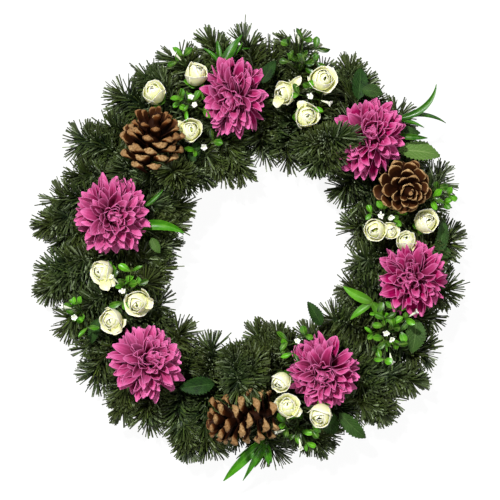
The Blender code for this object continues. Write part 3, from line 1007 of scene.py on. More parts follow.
def cone_scales(radius, length, scales, pad, taper, first, spread, slopes, outline, widths, rng):
    """The scales of one cone, thick and closed, round +Z.

    Scale number i stands i golden angles round and i / scales of the way up. Its slope, its
    half width and how far its end is from the axis are read between the steps from stalk to
    tip. It is as long as it must be to reach from the core to there: the gap over the cosine
    of the slope.
    """
    share = (np.arange(scales) + 0.5) / scales
    core = radius * np.interp(share, [0, 1], CORE_SHARES)
    slope = np.interp(share, CONE_STEPS, slopes)
    reach = (radius * np.interp(share, CONE_STEPS, outline) - core) / np.cos(np.radians(slope))
    width = radius * np.interp(share, CONE_STEPS, widths)
    sheets = bent_strips(
        reach * MM * rng.normal(1, 0.05, scales),
        width * MM * rng.normal(1, 0.10, scales),
        np.radians(slope + rng.normal(0, 6, scales)),
        np.radians(rng.normal(14, 10, scales)),
        rng.normal(0.32, 0.12, scales),
        np.radians(rng.normal(0, 10, scales)),
        scale_outline,
        SCALE_ROWS,
        SCALE_COLUMNS,
        sway=rng.normal(0, 0.05, scales),
        ripple=rng.normal(0, 0.08, scales),
        phase=rng.uniform(0, math.tau, scales),
    )
    sheets[..., 0] += core[:, None, None] * MM
    sheets[..., 2] += (length * (first + spread * share))[:, None, None] * MM
    azimuth = np.arange(scales) * GOLDEN_ANGLE + rng.normal(0, 0.06, scales)
    smaller = np.clip(width / width.max() + 0.1, 0.3, 1)[:, None, None]
    thickness = scale_thickness(pad, taper)[None] * smaller
    points, faces, uv, under = shells(turned(sheets, turn(2, azimuth)), thickness)
    uv[:, 1] = np.tile(np.repeat(SCALE_ROWS, SCALE_COLUMNS), 2)
    return points, faces, uv, under


def cone_core(radius, length, first):
    """A spindle up the middle, sqrt(1 - 0.93 v^2) of a quarter of the radius thick.

    Its wood is dark but for the bud at its tip, which is as pale as the pads.
    """
    v = np.linspace(-1, 1, 12)
    height = (v * 0.44 + max(first + 0.44, 0.02)) * length * MM
    spindle = np.stack([0 * v, 0 * v, height], axis=-1)
    thick = 0.26 * radius * MM * np.sqrt(np.clip(1 - v**2 * 0.93, 0.05, 1))
    points, faces, uv, under = tube(spindle, thick, sides=10)
    uv[:, 1] = np.where(uv[:, 1] > 0.97, 1.0, 0.1)
    return points, faces, uv, under


def pine_cone(place, wood, lean, towards, brown, seed, **form):
    """A cone's scales and core, leant to where its tip points; its tip may be browner."""
    node = "pine_cone_" + place
    rng = np.random.default_rng([13, seed])
    pose = (middle(node), lean, towards, towards)
    parts = Parts()
    scales = cone_scales(**form, rng=rng)
    share = (np.arange(form["scales"]) + 0.5) / form["scales"]
    tone = rng.uniform(0, 0.6, len(share)) + brown * share**2
    parts.add(scales, tone=np.minimum(tone, 1), pose=pose)
    parts.add(cone_core(form["radius"], form["length"], form["first"]), pose=pose)
    parts.piece("open_cone_" + place, [wood], [node], sharp=60)


# %% The three cones
# Radius and length are in mm, and lean, its bearing and the slopes in degrees. pad is a share
# of SWELLING, taper its power across, and brown how much browner the tip's pads are. first and
# spread say where the first scale stands and how far on the last one, as shares of the
# length. The lists run from stalk to tip: slopes, end distances and half widths, these two
# as shares of the radius.
CONES = {
    "upper_left": dict(
        wood=SCALE_WOOD, lean=60, towards=84, brown=0.9,
        radius=29, length=57, scales=48, pad=1.25, taper=2.6, first=-0.56, spread=0.80,
        slopes=[36, 32, 32, 34, 42, 60], outline=[0.76, 0.98, 1.03, 0.94, 0.70, 0.42],
        widths=[0.23, 0.25, 0.25, 0.21, 0.16, 0.11],
    ),
    "right": dict(
        wood=SCALE_WOOD, lean=16, towards=-50, brown=-0.5,
        radius=26, length=52, scales=41, pad=0.58, taper=1.6, first=-0.42, spread=0.70,
        slopes=[-34, -12, 12, 34, 50, 64], outline=[0.73, 0.98, 1.0, 0.73, 0.43, 0.17],
        widths=[0.21, 0.26, 0.27, 0.22, 0.16, 0.09],
    ),
    "bottom": dict(
        wood=BROAD_PAD_WOOD, lean=80, towards=188, brown=0.5,
        radius=25, length=70, scales=44, pad=1.5, taper=1.6, first=-0.37, spread=0.70,
        slopes=[-12, -4, 12, 30, 42, 50], outline=[0.72, 0.95, 1.02, 0.96, 0.78, 0.46],
        widths=[0.24, 0.30, 0.31, 0.28, 0.22, 0.17],
    ),
}
for seed, (place, style) in enumerate(CONES.items()):
    pine_cone(place, seed=seed + 1, **style)

# %% [markdown]
# ## Fine dyed polyester: the buds
# The buds are of the same weave, dyed a warm cream, yellow-green towards the root, with
# whiter rims. Light goes about 1.5 mm into it, which the subsurface weight gives. Its
# threads, too, are drawn at 0.4 mm as a bump alone.


# %% Cream fabric material
def cream_polyester(name, root, body, rim):
    """Fine woven polyester with whiter rims; inner petals, of low tone, are yellow-green."""
    material, node, maps = new_material(name)
    grown = coated(node, root, (maps.along, 0.2, 0.8, 0.0, 1.0, body))
    colour = coated(
        node, "#e0e698",
        (maps.tone, 0.45, 0.9, 0.0, 1.0, grown),
        (maps.along, 0.82, 1.0, 0.0, 1.0, rim),
    )
    threads = node("TexNoise", Vector=maps.object, Scale=2500.0, Detail=2.0)
    return dressed(material, {
        "Base Color": colour,
        "Normal": node("Bump", Height=threads, Strength=0.2, Distance=0.0002),
        "Roughness": 0.7,
        "Specular IOR Level": 0.2,
        "Subsurface Weight": 0.35,
        "Subsurface Radius": (1.0, 0.9, 0.5),
        "Subsurface Scale": 0.0015,
    })


CREAM = cream_polyester("woven_polyester_cream", "#d0d488", "#f4f2c8", "#fdfae2")
EYE_GREEN = cream_polyester("woven_polyester_eye", "#8a9a2a", "#a9b548", "#c4cf6a")

# %% [markdown]
# ## Moulded polyethylene: box leaves, grass blades, white trumpets
# These small parts are moulded from dyed polyethylene, IOR 1.51, and keep the gloss of the
# mould. The dye is mottled at about 5 mm, and each part is darker towards its stalk end. The
# pressed middle line and the thin edges are painted paler, as painted highlights. Tone differs
# at random from copy to copy, and higher tone is darker. The shade added to the tone of a spray
# or tuft paints it darker, as painted shade, and a tone below zero paints it paler, as painted
# light.


# %% Leaf and trumpet materials
def moulded_polyethylene(name, deep, body, light):
    """Glossy moulded film: deep at the stalk, body colour beyond, painted highlights on middle line and
    edges.
    """
    material, node, maps = new_material(name)
    mottle = node("TexNoise", Vector=maps.object, Scale=220.0, Detail=3.0)
    colour = coated(
        node, deep,
        (maps.along, 0.0, 0.55, 0.0, 1.0, body),
        # painted light: copies of a tone below zero are painted paler
        (maps.tone, -1.0, 0.0, 0.8, 0.0, light),
        # random tone and painted shade: copies of higher tone are painted darker
        (maps.tone, 0.1, 1.0, 0.0, 0.96, deep),
        (mottle, 0.45, 0.7, 0.0, 0.15, light),
    )
    # painted highlight: the pressed middle line and the thin edges are painted paler
    line = node("MapRange", maps.edge, 0.0, 0.18, 0.2, 0.0)
    rim = node("MapRange", maps.edge, 0.75, 1.0, 0.0, 0.05)
    pale = node("Math", line, rim, operation="MAXIMUM")
    return dressed(material, {
        "Base Color": node("Mix", pale, colour, light, data_type="RGBA"),
        "Normal": node("Bump", Height=maps.edge, Strength=0.4, Distance=0.0005),
        "Roughness": node("MapRange", mottle, 0.3, 0.7, 0.28, 0.45),
        "IOR": 1.51,
        "Specular IOR Level": 0.3,
    })


BOX_GREEN = moulded_polyethylene("moulded_polyethylene_box", "#041a01", "#509912", "#b0de5a")
GRASS_GREEN = moulded_polyethylene("moulded_polyethylene_grass", "#103803", "#3a800b", "#86bd3c")
WHITE_FILM = moulded_polyethylene("moulded_polyethylene_white", "#d5dfb4", "#f4f5ea", "#fbfbf4")

# %% [markdown]
# ## Ranunculus buds
# A bud is wrapped petals, each a piece of a round bowl, one inside the other. Seen from
# above the rims make a loose spiral round a green eye.

# %% Wrapped petals
WRAPS = (  # radius share, rim's polar angle and its sinking at the ends, petals, span, flare
    (0.52, 9, 40, 2, 260, 0.00),
    (0.62, 16, 40, 2, 250, 0.02),
    (0.74, 28, 38, 3, 175, 0.06),
    (0.86, 50, 32, 3, 165, 0.20),
)
ROOT_ANGLE = math.radians(160)
BUD_HEIGHT = 1.15  # times the width


def wrapped_petals(radius, openness, rng):
    """The bowls of one bud: sheets (petal, row, column, 3) round the bud's middle.

    A row runs up from the root, at ROOT_ANGLE from the top, to the rim. Across, w goes from
    -1 to 1 over the petal's span, and the rim sinks at its ends with w^2. A rim below zero
    degrees passes over the top, so that inner petals close over each other. The distance
    from the middle is the share of the radius, 6% less at one end so that petals tuck under
    each other, plus flare * up^6 and a ripple of the rim.
    """
    up = np.linspace(0, 1, 10)[:, None]
    w = np.linspace(-1, 1, 9)[None, :]
    sheets, shares = [], []
    for share, rim, sink, count, span, flare in WRAPS:
        first = rng.uniform(0, math.tau)
        for petal in range(count):
            opened = rim * openness + rng.normal(0, 6)
            edge = np.radians(opened + sink * w**2 + 5 * np.sin(3 * w + rng.uniform(0, math.tau)))
            polar = ROOT_ANGLE + (edge - ROOT_ANGLE) * up
            azimuth = first + math.tau * petal / count + np.radians(span / 2) * w
            wave = 0.05 * np.sin(2.5 * w * math.pi + rng.uniform(0, math.tau)) * up**4
            own = share * (1 + 0.03 * petal + 0.03 * w) + flare * rng.uniform(0.4, 1.5) * up**6
            away = radius * (own + wave * share)
            x = away * np.sin(polar) * np.cos(azimuth)
            y = away * np.sin(polar) * np.sin(azimuth)
            z = BUD_HEIGHT * away * np.cos(polar)
            sheets.append(np.stack(np.broadcast_arrays(x, y, z), axis=-1))
            shares.append(share)
    return np.stack(sheets), np.array(shares)


print("a bud is wrapped from", sum(wrap[3] for wrap in WRAPS), "petals")

# %% One bud: petals, eye and calyx
EYE_HEIGHTS = np.array([-0.5, 0.0, 0.30, 0.42])  # as shares of the radius
EYE_RADII = np.array([0.34, 0.34, 0.24, 0.06])
SEPALS = 5


def wrapped_bud(parts, centre, radius, lean, towards, openness, rng):
    """One bud: wrapped petals, a small yellow-green eye and a short calyx of five leaves."""
    sheets, shares = wrapped_petals(radius, openness, rng)
    pose = (centre, lean, towards, rng.uniform(0, 360))
    parts.add(shells(sheets, FABRIC), tone=shares * rng.uniform(0.85, 1.0), pose=pose)
    eye = np.stack([0 * EYE_HEIGHTS, 0 * EYE_HEIGHTS, EYE_HEIGHTS], axis=-1) * radius
    parts.add(tube(eye, EYE_RADII * radius, sides=9), tone=0.9, skin=2, pose=pose)
    sepals = bent_strips(
        np.full(SEPALS, 0.9 * radius), 0.30 * radius, math.radians(-20), math.radians(75),
        0.3, 0.0, petal_outline, rows=6, columns=3,
    )
    sepals = turned(sepals, turn(2, np.arange(SEPALS) * math.tau / SEPALS))
    points, *rest = shells(sepals, 0.4 * MM)
    points = points - 1.02 * radius * UP
    parts.add((points, *rest), tone=rng.random(SEPALS), skin=1, pose=pose)


print("a bud's calyx has", SEPALS, "leaves, and its eye is", 2 * EYE_RADII.max(), "of a radius wide")

# %% [markdown]
# ## Where a finished piece stands
# A few pieces stand some millimetres beside the middle of their solid, where the finished
# look asks for it. The tables of this lesson name a piece by where it is on the ring.

# %% Nudges
NUDGES = {  # bud, leaf or tuft, how far it stands beside its solid's middle in mm
    "ranunculus_right_middle": (5, -7),
    "rose_leaf_top_right": (0, 9),
    "rose_leaf_upper_right": (7, -1),
    "rose_leaf_right": (-9, -2),
    "rose_leaf_lower_right": (8, -5),
    "grass_tuft_top": (-8, -3),
    "grass_tuft_upper_right": (8, 0),
    "grass_tuft_lower_right": (6, 1),
    "grass_tuft_bottom": (-7, 5),
}


def nudged(node):
    """The solid's middle, moved by its nudge."""
    return middle(node) + np.array([*NUDGES.get(node, (0, 0)), 0]) * MM


furthest = max(math.hypot(*nudge) for nudge in NUDGES.values())
print(len(NUDGES), "pieces stand up to", round(furthest, 1), "mm aside")

# %% The fifteen buds
BUD_SIZE = 0.92  # of the radius of its solid
SECOND_BUDS = {"right_inner": (13, -1, 0.74)}  # mm beside the first, and its share of the size
LOOSE_PETALS = {  # bearing, length and half width in mm of each
    "upper_left_inner": ((160, 13, 4.6),),
    "top_left": ((44, 17, 3.8), (240, 11, 5.0)),
    "top_inner": ((115, 10, 4.5),),
    "left_upper": ((-50, 13, 5.0), (-74, 14, 5.2)),
    "left_middle": ((2, 9, 6.2),),
    "left_lower": ((-58, 9, 5.6),),
    "right_middle": ((-28, 11, 4.6),),
    "lower_right_left": ((-20, 9, 5.2),),
}
BUDS = {  # lean in degrees, bearing it leans to, openness
    "upper_left_outer": (46, 120, 1.15),
    "upper_left_top": (46, 60, 1.15),
    "upper_left_inner": (14, 40, 1.4),
    "top_left": (34, 200, 1.5),
    "top_inner": (20, 0, 1.15),
    "top_right": (20, 40, 1.35),
    "right_outer": (24, 40, 1.0),
    "right_inner": (12, 220, 1.35),
    "right_middle": (40, 100, 1.0),
    "lower_right_top": (34, 230, 0.8),
    "lower_right_left": (24, 100, 1.25),
    "lower_right_bottom": (30, 250, 1.0),
    "left_upper": (30, 190, 1.15),
    "left_middle": (22, 240, 1.3),
    "left_lower": (18, 200, 1.3),
}


def bud(place, lean, towards, openness, seed):
    """A ranunculus bud, with the loose petals and the small second bud that some have."""
    node = "ranunculus_" + place
    low, high = corners(node)
    radius = (high - low)[:2].mean() / 2 * BUD_SIZE
    rng = np.random.default_rng([17, seed])
    parts = Parts()
    centre = nudged(node)
    wrapped_bud(parts, centre, radius, lean, towards, openness, rng)
    if place in SECOND_BUDS:
        right, up, share = SECOND_BUDS[place]
        beside_it = centre + np.array([right, up, -5]) * MM
        wrapped_bud(parts, beside_it, share * radius, 30, 10, 1.2, rng)
    for bearing, length, half_width in LOOSE_PETALS.get(place, ()):
        petal = bent_strips(
            length * MM, half_width * MM, math.radians(35), math.radians(-60), 0.7, 0.5,
            petal_outline, rows=9, columns=7, ripple=0.3, phase=rng.uniform(0, math.tau),
        )
        petal[..., 0] += 0.50 * radius
        petal = shells(turned(petal, turn(2, math.radians(bearing))), FABRIC)
        parts.add(petal, tone=1.0, pose=(centre + 1 * MM * UP,))
    skins = [CREAM, BOX_GREEN, EYE_GREEN]
    parts.piece("ranunculus_bud_" + place, skins, [node], sharp=70)


for seed, (place, style) in enumerate(BUDS.items()):
    bud(place, *style, seed)

# %% [markdown]
# ## Box sprays
# Box has small spoon-shaped leaves in opposite pairs along thin stems. The moulded sprays
# also carry tiny white trumpets. A spray is a few stems that fan out from one foot, each
# with its pairs of leaves, and a pair or a trumpet at the end. The larger sprays have solids
# of their own. Slips of a few leaves fill the gaps between flowers and belong to the nearest
# spray's piece.


# %% Leaves and trumpets of a spray
BOX_LEAF = 11.5 * MM  # a middling leaf's length
TRUMPET = 7.5 * MM
LOBES = 5  # of a trumpet's mouth
LONG_TWIG = 13  # mm, past which it has a second pair of leaves


def spoon_outline(s):
    """Half width of a box leaf: a stalk, then sin(pi s^1.5), widest past the middle."""
    return 0.10 + 0.90 * np.clip(np.sin(np.pi * np.clip(s, 0, 1) ** 1.5), 0, 1) ** 0.6


def oval_outline(s):
    """Half width of an oval leaf: sin(pi s^0.85) with a soft point."""
    return np.clip(np.sin(np.pi * np.clip(s, 0, 1) ** 0.85), 0.06, 1) ** 0.75


def stem_path(foot, length, azimuth, slope, droop):
    """A stem's middle line: a bent strip's, turned to its bearing and carried to its foot."""
    strip = bent_strips(length, 0.0, slope, droop, 0, 0, oval_outline, rows=9, columns=3)
    return turned(strip[:, :, 1], turn(2, azimuth))[0] + foot


def box_leaves(parts, points, headings, shade, rng):
    """Spoon-shaped leaves, one at each point, turned to its heading; shade paints them darker, as painted
    shade.
    """
    count = len(points)
    sheets = bent_strips(
        BOX_LEAF * rng.uniform(0.65, 1.2, count),
        BOX_LEAF * 0.24 * rng.normal(1.0, 0.16, count),
        np.radians(rng.normal(30, 16, count)),
        np.radians(rng.normal(-30, 14, count)),
        rng.normal(0.35, 0.15, count),
        np.radians(rng.normal(0, 32, count)),
        spoon_outline,
        rows=8,
        columns=5,
    )
    sheets = turned(sheets, turn(2, headings)) + points[:, None, None]
    # painted shade: shade paints all leaves of the spray darker
    parts.add(shells(sheets, 0.4 * MM), tone=shade + (1 - shade) * rng.beta(0.8, 0.9, count))


def trumpet(parts, foot, azimuth, slope, rng):
    """A tiny white trumpet: a tube that widens, and five lobes that open at its mouth."""
    path = stem_path(foot, TRUMPET, azimuth, slope, 0.0)
    parts.add(tube(path, np.linspace(0.45, 1.5, len(path)) * MM, sides=6), tone=0.6, skin=1)
    lobes = bent_strips(
        3.2 * MM * rng.normal(1.0, 0.15, LOBES),
        1.3 * MM * rng.normal(1.0, 0.15, LOBES),
        np.radians(rng.normal(66, 10, LOBES)),
        math.radians(-50),
        0.3,
        0.0,
        spoon_outline,
        rows=5,
        columns=3,
    )
    lobes[..., 0] += 0.9 * MM
    lobes = turned(lobes, turn(2, np.arange(LOBES) * math.tau / LOBES + rng.random()))
    pose = (path[-1], 90 - math.degrees(slope), math.degrees(azimuth))
    parts.add(shells(lobes, 0.35 * MM), tone=0.1, skin=1, pose=pose)


def box_twig(parts, foot, bearing, length, shade, rng):
    """One thin stem with a pair of leaves at its end, and another on the way if it is long."""
    azimuth = math.radians(bearing + rng.normal(0, 5))
    slope = math.radians(rng.uniform(15, 50))
    run = length * MM / math.cos(slope)
    path = stem_path(foot, run, azimuth, slope, math.radians(-20))
    parts.add(tube(path, 0.45 * MM, sides=5), tone=1.0)
    at = np.array([3, 8] if length > LONG_TWIG else [8])
    side = np.tile([-1.0, 1.0], len(at))
    headings = azimuth + side * np.radians(rng.normal(48, 16, len(side)))
    box_leaves(parts, path[np.repeat(at, 2)], headings, shade, rng)


print("box leaves are", round(BOX_LEAF * 650, 1), "to", round(BOX_LEAF * 1200, 1), "mm long")

# %% Sprays on their solids, and slips between the flowers
SPRAYS = (
    # spray's piece, solid, offset in mm and bearing of the foot from the solid's middle,
    # twigs and then trumpets, each as a bearing and a length in mm
    ("upper_left", "box_sprig_upper_left", 1, 230,
     ((150, 12), (40, 9), (200, 8), (-32, 8), (178, 14), (100, 4)), ((112, 11), (100, 3))),
    ("upper_left", "ranunculus_upper_left_inner", 20, -50, ((30, 9), (195, 8)), ((-80, 3),)),
    ("upper_left", "ranunculus_upper_left_top", 11, 141, ((112, 9), (150, 9)), ((132, 13),)),
    ("top", "box_sprig_top", 16, 260,
     ((104, 23), (78, 25), (47, 21), (140, 12), (22, 17), (90, 9)), ((92, 30), (50, 28))),
    ("top", "ranunculus_top_left", 24, -10, ((100, 9), (-65, 9), (172, 9)), ((60, 3), (-18, 16))),
    ("right", "box_sprig_right", 6, 0, ((152, 13), (100, 8), (35, 11), (-10, 7)), ((160, 8), (0, 7))),
    ("right", "pine_cone_right", 21, -27, ((42, 13), (12, 19), (-14, 17)), ()),
    ("lower_right", "box_sprig_lower_right", 4, 200,
     ((128, 18), (100, 12), (68, 22), (38, 19), (8, 12), (182, 12), (262, 22), (238, 16), (300, 13),
      (50, 6), (270, 6)),
     ((215, 4), (-55, 10), (-82, 24), (36, 30))),
    ("bottom", "box_sprig_bottom", 7, 96,
     ((165, 12), (205, 10), (250, 8), (-18, 12), (12, 12), (-70, 15), (100, 7)), ((195, 18), (-84, 17))),
    ("bottom", "chrysanthemum_lower_right", 36, 132, ((165, 8), (40, 9), (205, 10), (250, 9)), ((90, 4),)),
    ("left", "box_sprig_left", 4, 250,
     ((150, 8), (108, 6), (-80, 15), (200, 6)), ((166, 14), (226, 11))),
    ("left", "ranunculus_left_middle", 14, 136,
     ((125, 16), (80, 17), (30, 10), (255, 10), (100, 8)), ((170, 6), (135, 16))),
)
SHADED = {"box_sprig_top": 0.65}  # spray that stands deep in the fir, and how much darker its leaves are painted, as painted shade
SEATED = 6 * MM  # how far above a solid's underside a foot beside it stands
HIGHEST_FOOT = 66 * MM
TRUMPET_LIFT = 9 * MM  # how far above the foot a trumpet starts


def beside(node, offset, bearing):
    """The point offset mm from a solid's middle, at the height where flowers sit."""
    height = min(corners(node)[0][2] + SEATED, HIGHEST_FOOT)
    return np.array([*middle(node)[:2], height]) + offset * MM * level(bearing)


def box_spray(place, seed):
    """All twigs and trumpets of one spray's piece; near trumpets stand up, far ones lean."""
    rng = np.random.default_rng([19, seed])
    parts = Parts()
    for owner, node, offset, bearing, twigs, trumpets in SPRAYS:
        if owner != place:
            continue
        foot = beside(node, offset, bearing)
        for twig in twigs:
            box_twig(parts, foot, *twig, SHADED.get(node, 0.0), rng)
        for heading, length in trumpets:
            slope = math.radians(75 if length < 12 else 25)
            start = foot + TRUMPET_LIFT * UP
            start += (length - 5) * MM * level(heading)
            parts.add(tube(np.linspace(foot, start, 8), 0.35 * MM, sides=5), tone=1.0)
            trumpet(parts, start, math.radians(heading), slope, rng)
    skins = [BOX_GREEN, WHITE_FILM]
    parts.piece("box_spray_" + place, skins, ["box_sprig_" + place], sharp=60)


for seed, place in enumerate(dict.fromkeys(spray[0] for spray in SPRAYS)):
    box_spray(place, seed)

# %% [markdown]
# ## Rose leaves
# The larger leaves are printed polyester with a toothed edge, a pressed middle rib and side
# veins, and the print is mottled at about 7 mm. Under the flowers beside them more leaves
# are tucked in. The teeth are a saw-tooth taken off the outline, about 3 mm apart.


# %% Rose leaf material
def printed_polyester():
    """Leaf fabric printed dark green, with a pale rib and slanting side veins.

    The veins are the crests of a sine of 50 * (along - 0.3 * edge), eight to a leaf, 4 mm
    apart. Tone goes from dark leaves to pale ones.
    """
    material, node, maps = new_material("printed_polyester_leaf")
    slant = node("Math", maps.edge, -0.30, maps.along, operation="MULTIPLY_ADD")
    wave = node("Math", slant, 50.0, operation="MULTIPLY")
    sine = node("Math", wave, operation="SINE")
    veins = node("MapRange", sine, 0.75, 1.0, 0.0, 0.5)
    rib = node("MapRange", maps.edge, 0.0, 0.10, 0.8, 0.0)
    lines = node("Math", veins, rib, operation="MAXIMUM")
    mottle = node("TexNoise", Vector=maps.object, Scale=140.0, Detail=3.0)
    dark = coated(node, "#0c2406", (mottle, 0.35, 0.7, 0.0, 1.0, "#224413"))
    body = node("Mix", maps.tone, dark, "#5d7f38", data_type="RGBA")
    light = node("Mix", maps.tone, "#3d5c2a", "#8ea964", data_type="RGBA")
    return dressed(material, {
        "Base Color": node("Mix", lines, body, light, data_type="RGBA"),
        "Normal": node("Bump", Height=lines, Strength=0.7, Distance=0.0008, invert=True),
        "Roughness": 0.6,
        "Specular IOR Level": 0.15,
    })


ROSE_GREEN = printed_polyester()

# %% A toothed leaf
TEETH = 11  # on each side


def toothed_outline(s):
    """oval_outline with saw teeth: each tooth rises slowly and falls at once."""
    teeth = (s * TEETH) % 1.0
    return oval_outline(s) * (1 - 0.24 * teeth * (s < 0.96))


def rose_leaf(parts, centre, length, width, tip, tone, lean, towards, rng):
    """One toothed leaf about its middle, folded along its rib and bent down at the tip."""
    sheets = bent_strips(
        length * MM,
        width / 2 * MM,
        math.radians(16 + rng.normal(0, 4)),
        math.radians(-40),
        0.30,
        math.radians(rng.normal(0, 10)),
        toothed_outline,
        rows=45,
        columns=7,
        sway=rng.normal(0, 0.05),
        ripple=0.10,
        phase=rng.uniform(0, math.tau),
    )
    sheets[..., 0] -= length * MM / 2
    parts.add(shells(sheets, 0.5 * MM), tone=tone, pose=(centre, lean, towards, tip))


print("a leaf 33 mm long has a tooth every", 33 / TEETH, "mm")

# %% Rose leaves on their solids, and leaves tucked under flowers
ROSE_LEAVES = {  # length and width in mm, tip bearing, tone, slope
    "top_right": (32, 17, 84, 0.0, 22),
    "upper_right": (42, 20, 0, 0.75, 24),
    "right": (32, 15, 80, 0.10, 20),
    "lower_right": (36, 16, -48, 0.15, 20),
    "lower_left": (33, 18, 186, 0.0, 2),
}
TUCKED_LEAVES = {  # its piece, a solid: offset, bearing, length, width, tip bearing, tone
    ("top_right", "ranunculus_top_right"): (48, -13, 20, 14, -10, 0.15),
    ("top_right", "chrysanthemum_top"): (36, 38, 26, 13, 60, 0.0),
    ("upper_right", "rose_leaf_upper_right"): (17, 115, 32, 15, 0, 0.10),
    ("right", "rose_leaf_right"): (18, 245, 22, 14, -22, 0.15),
    ("lower_right", "box_sprig_lower_right"): (22, -14, 32, 21, -98, 0.22),
    ("lower_right", "rose_leaf_lower_right"): (12, 197, 24, 17, -86, 0.10),
    ("lower_right", "ranunculus_lower_right_bottom"): (30, 42, 26, 12, 5, 0.05),
    ("lower_right", "chrysanthemum_lower_right"): (54, 98, 26, 13, 120, 0.05),
    ("lower_left", "ranunculus_left_lower"): (20, 212, 24, 12, 250, 0.05),
    ("lower_left", "ranunculus_upper_left_inner"): (22, -82, 24, 12, -110, 0.05),
    ("lower_left", "chrysanthemum_left"): (50, -34, 16, 10, -62, 0.45),
}
TUCKED_SLOPE = 14  # in degrees
TUCKED_CEILING = 58 * MM  # no tucked leaf stands higher

for seed, (place, leaf) in enumerate(ROSE_LEAVES.items()):
    node = "rose_leaf_" + place
    rng = np.random.default_rng([29, seed])
    parts = Parts()
    rose_leaf(parts, nudged(node), *leaf, bearing_of(middle(node)), rng)
    for (owner, flower), (offset, bearing, *tucked) in TUCKED_LEAVES.items():
        if owner == place:
            centre = beside(flower, offset, bearing)
            centre[2] = min(centre[2], TUCKED_CEILING)
            rose_leaf(parts, centre, *tucked, TUCKED_SLOPE, bearing_of(centre), rng)
    parts.piece("rose_leaf_sheet_" + place, [ROSE_GREEN], [node], sharp=60)

# %% [markdown]
# ## Grass blades
# Each tuft is a few moulded blades from one foot: long, widest before the middle, folded
# along the middle, and bent over at the tip. Some sweep to one side as they grow.

# %% Tufts of blades
GRASS_TUFTS = {  # slope and shade, which paints blades darker as painted shade and, below zero, paler as painted light; length, half width, bearing and sideways sweep of each blade
    "top": (20, 0.42, (
        (35, 4.6, 50, 0.1), (25, 2.4, 100, 0.0), (24, 1.8, 124, 0.2), (34, 1.5, 62, -0.5),
        (30, 1.6, 30, 0.3),
    )),
    "upper_right": (24, 0.45, ((54, 2.8, -2, 0.72), (50, 2.0, 20, -0.42), (28, 1.6, -12, -0.1))),
    "lower_right": (6, -0.42, ((31, 4.4, 158, -0.12), (26, 3.2, 210, 0.15), (23, 4.0, -52, 0.0))),
    "bottom": (30, 0.0, (
        (58, 4.2, 218, 0.16), (46, 3.2, 238, 0.08), (26, 2.6, 272, 0.1), (34, 2.2, 198, 0.3),
        (30, 2.4, 256, -0.1), (24, 2.0, 290, -0.1),
    )),
}
BESIDE_BLADES = {  # its piece, a solid: offset, bearing; length, half width, bearing, sweep; tone
    ("top", "chrysanthemum_left"): (42, -27, 47, 4.4, 22, -0.48, 0.16),
    ("bottom", "chrysanthemum_left"): (40, 14, 24, 1.8, 36, 0.1, 0.6),
    ("upper_right", "chrysanthemum_upper_right"): (36, 8, 30, 2.6, -4, 0.0, 0.8),
}
FILM = 0.5 * MM  # a blade's thickness
LONG = 0.45  # of the longest blade; only blades longer than this say where the foot is
BLADE_GRID = dict(rows=14, columns=5)


def blade_outline(s):
    """Half width of a blade: sin(pi s^0.8) to the power 0.75, widest at four tenths."""
    return np.clip(np.sin(np.pi * np.clip(s, 0, 1) ** 0.8), 0.04, 1) ** 0.75 + 0.12 * (1 - s)


def tuft(parts, node, slope, shade, blades, rng):
    """The blades of one tuft, from a foot that puts their spread in the solid's middle."""
    lengths, halves, bearings, sweeps = np.array(blades, dtype=float).T
    count = len(blades)
    azimuth = np.radians(bearings)
    reach = np.stack([np.cos(azimuth), np.sin(azimuth)]) * lengths * MM
    reach = reach[:, lengths > LONG * lengths.max()]
    foot = nudged(node)[:2] - (reach.max(1).clip(0) + reach.min(1).clip(None, 0)) / 2
    sheets = bent_strips(
        lengths * MM, halves * MM, np.radians(rng.normal(14, 5, count)), np.radians(-30), 0.45,
        np.radians(rng.normal(0, 25, count)), blade_outline, **BLADE_GRID, sway=sweeps,
    )
    base = np.array([*foot, corners(node)[1][2] - 1 * MM])
    parts.add(
        shells(turned(sheets, turn(2, azimuth)), FILM),
        # painted shade: a tuft's shade paints its blades darker, and below zero paler, as painted light
        tone=shade + 0.5 * rng.random(count),
        pose=(base, slope * 0.6, bearing_of(base)),
    )


for seed, (place, style) in enumerate(GRASS_TUFTS.items()):
    node = "grass_tuft_" + place
    parts = Parts()
    tuft(parts, node, *style, np.random.default_rng([23, seed]))
    for (owner, flower), (offset, bearing, length, half, heading, sweep, tone) in BESIDE_BLADES.items():
        if owner == place:
            sheet = bent_strips(
                length * MM, half * MM, math.radians(10), math.radians(-24), 0.5, 0.2,
                blade_outline, **BLADE_GRID, sway=sweep,
            )
            foot = beside(flower, offset - length / 3, bearing)
            blade = shells(turned(sheet, turn(2, math.radians(heading))), FILM)
            parts.add(blade, tone=tone, pose=(foot,))
    parts.piece("grass_blades_" + place, [GRASS_GREEN], [node], sharp=60)

# %% [markdown]
# ## Floor, light and camera
# The wreath lies on a plain white floor. A sun 5 degrees wide from the upper left models the
# forms. A weaker one from the lower right, 40 degrees wide, and a faint white sky fill the
# shadows. The camera looks straight down from far off with a long lens, so that the rim
# isn't seen slanting.


# %% The floor
FLOOR_HALF = 3.0


def pale_paper():
    """Matt white paper, lit so evenly that it is almost its own light."""
    material = bpy.data.materials.new("pale_paper")
    material.use_nodes = True
    return dressed(material, {
        "Base Color": "#595959",
        "Roughness": 0.9,
        "Emission Color": "#ffffff",
        "Emission Strength": 0.92,
    })


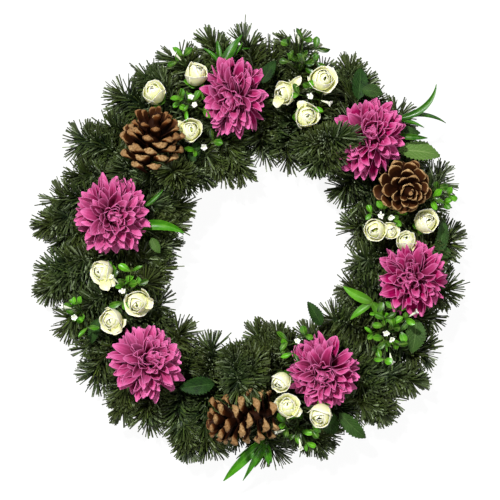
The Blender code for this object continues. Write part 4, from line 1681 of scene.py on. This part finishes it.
def staged(name, data):
    """Puts an object with this data in the scene and returns it."""
    made = bpy.data.objects.new(name, data)
    bpy.context.scene.collection.objects.link(made)
    return made


floor_mesh = bpy.data.meshes.new("floor")
floor_corners = [(x * FLOOR_HALF, y * FLOOR_HALF, 0) for x, y in ((-1, -1), (1, -1), (1, 1), (-1, 1))]
floor_mesh.from_pydata(floor_corners, [], [(0, 1, 2, 3)])
floor_mesh.materials.append(pale_paper())
staged("floor", floor_mesh)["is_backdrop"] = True


# %% The lights
def soft_sun(name, strength, from_bearing, height, width):
    """A sun that shines from a bearing and a height above the floor; its disc is width wide.

    All three are in degrees, and a wider disc gives softer shadows.
    """
    lamp = bpy.data.lights.new(name, "SUN")
    lamp.energy = strength
    lamp.angle = math.radians(width)
    rotation = (0.0, math.radians(90 - height), math.radians(from_bearing))
    staged(name, lamp).rotation_euler = rotation
    print(f"{name}: {strength} from bearing {from_bearing}, {height} degrees up")


soft_sun("upper_left_sun", strength=4.2, from_bearing=125, height=61, width=5)
soft_sun("lower_right_sun", strength=1.15, from_bearing=320, height=60, width=40)
SKY_STRENGTH = 0.14
sky = bpy.data.worlds.new("white_sky")
sky.use_nodes = True
background = sky.node_tree.nodes["Background"]
fill(background.inputs["Color"], "#ffffff")
fill(background.inputs["Strength"], SKY_STRENGTH)
bpy.context.scene.world = sky
bpy.context.scene.view_settings.view_transform = "Standard"

# %% The camera
LENS = 250.0
SENSOR = 36.0
VIEW_WIDTH = 0.465
LOOK_HEIGHT = 0.045  # where the view is that wide
ASIDE = 1 * MM  # how far left of the ring's centre it stands
camera_data = bpy.data.cameras.new("camera")
camera_data.lens = LENS
camera_data.sensor_width = SENSOR
distance = VIEW_WIDTH * LENS / SENSOR
camera = staged("camera", camera_data)
camera.location = (RING_CENTRE[0] - ASIDE, RING_CENTRE[1], LOOK_HEIGHT + distance)
bpy.context.scene.camera = camera
print("camera", round(distance, 2), "m above the wreath")

# %% Sizes, and the end
[[list(map(float, corner)) for corner in box] for box in (solid_box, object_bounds())]
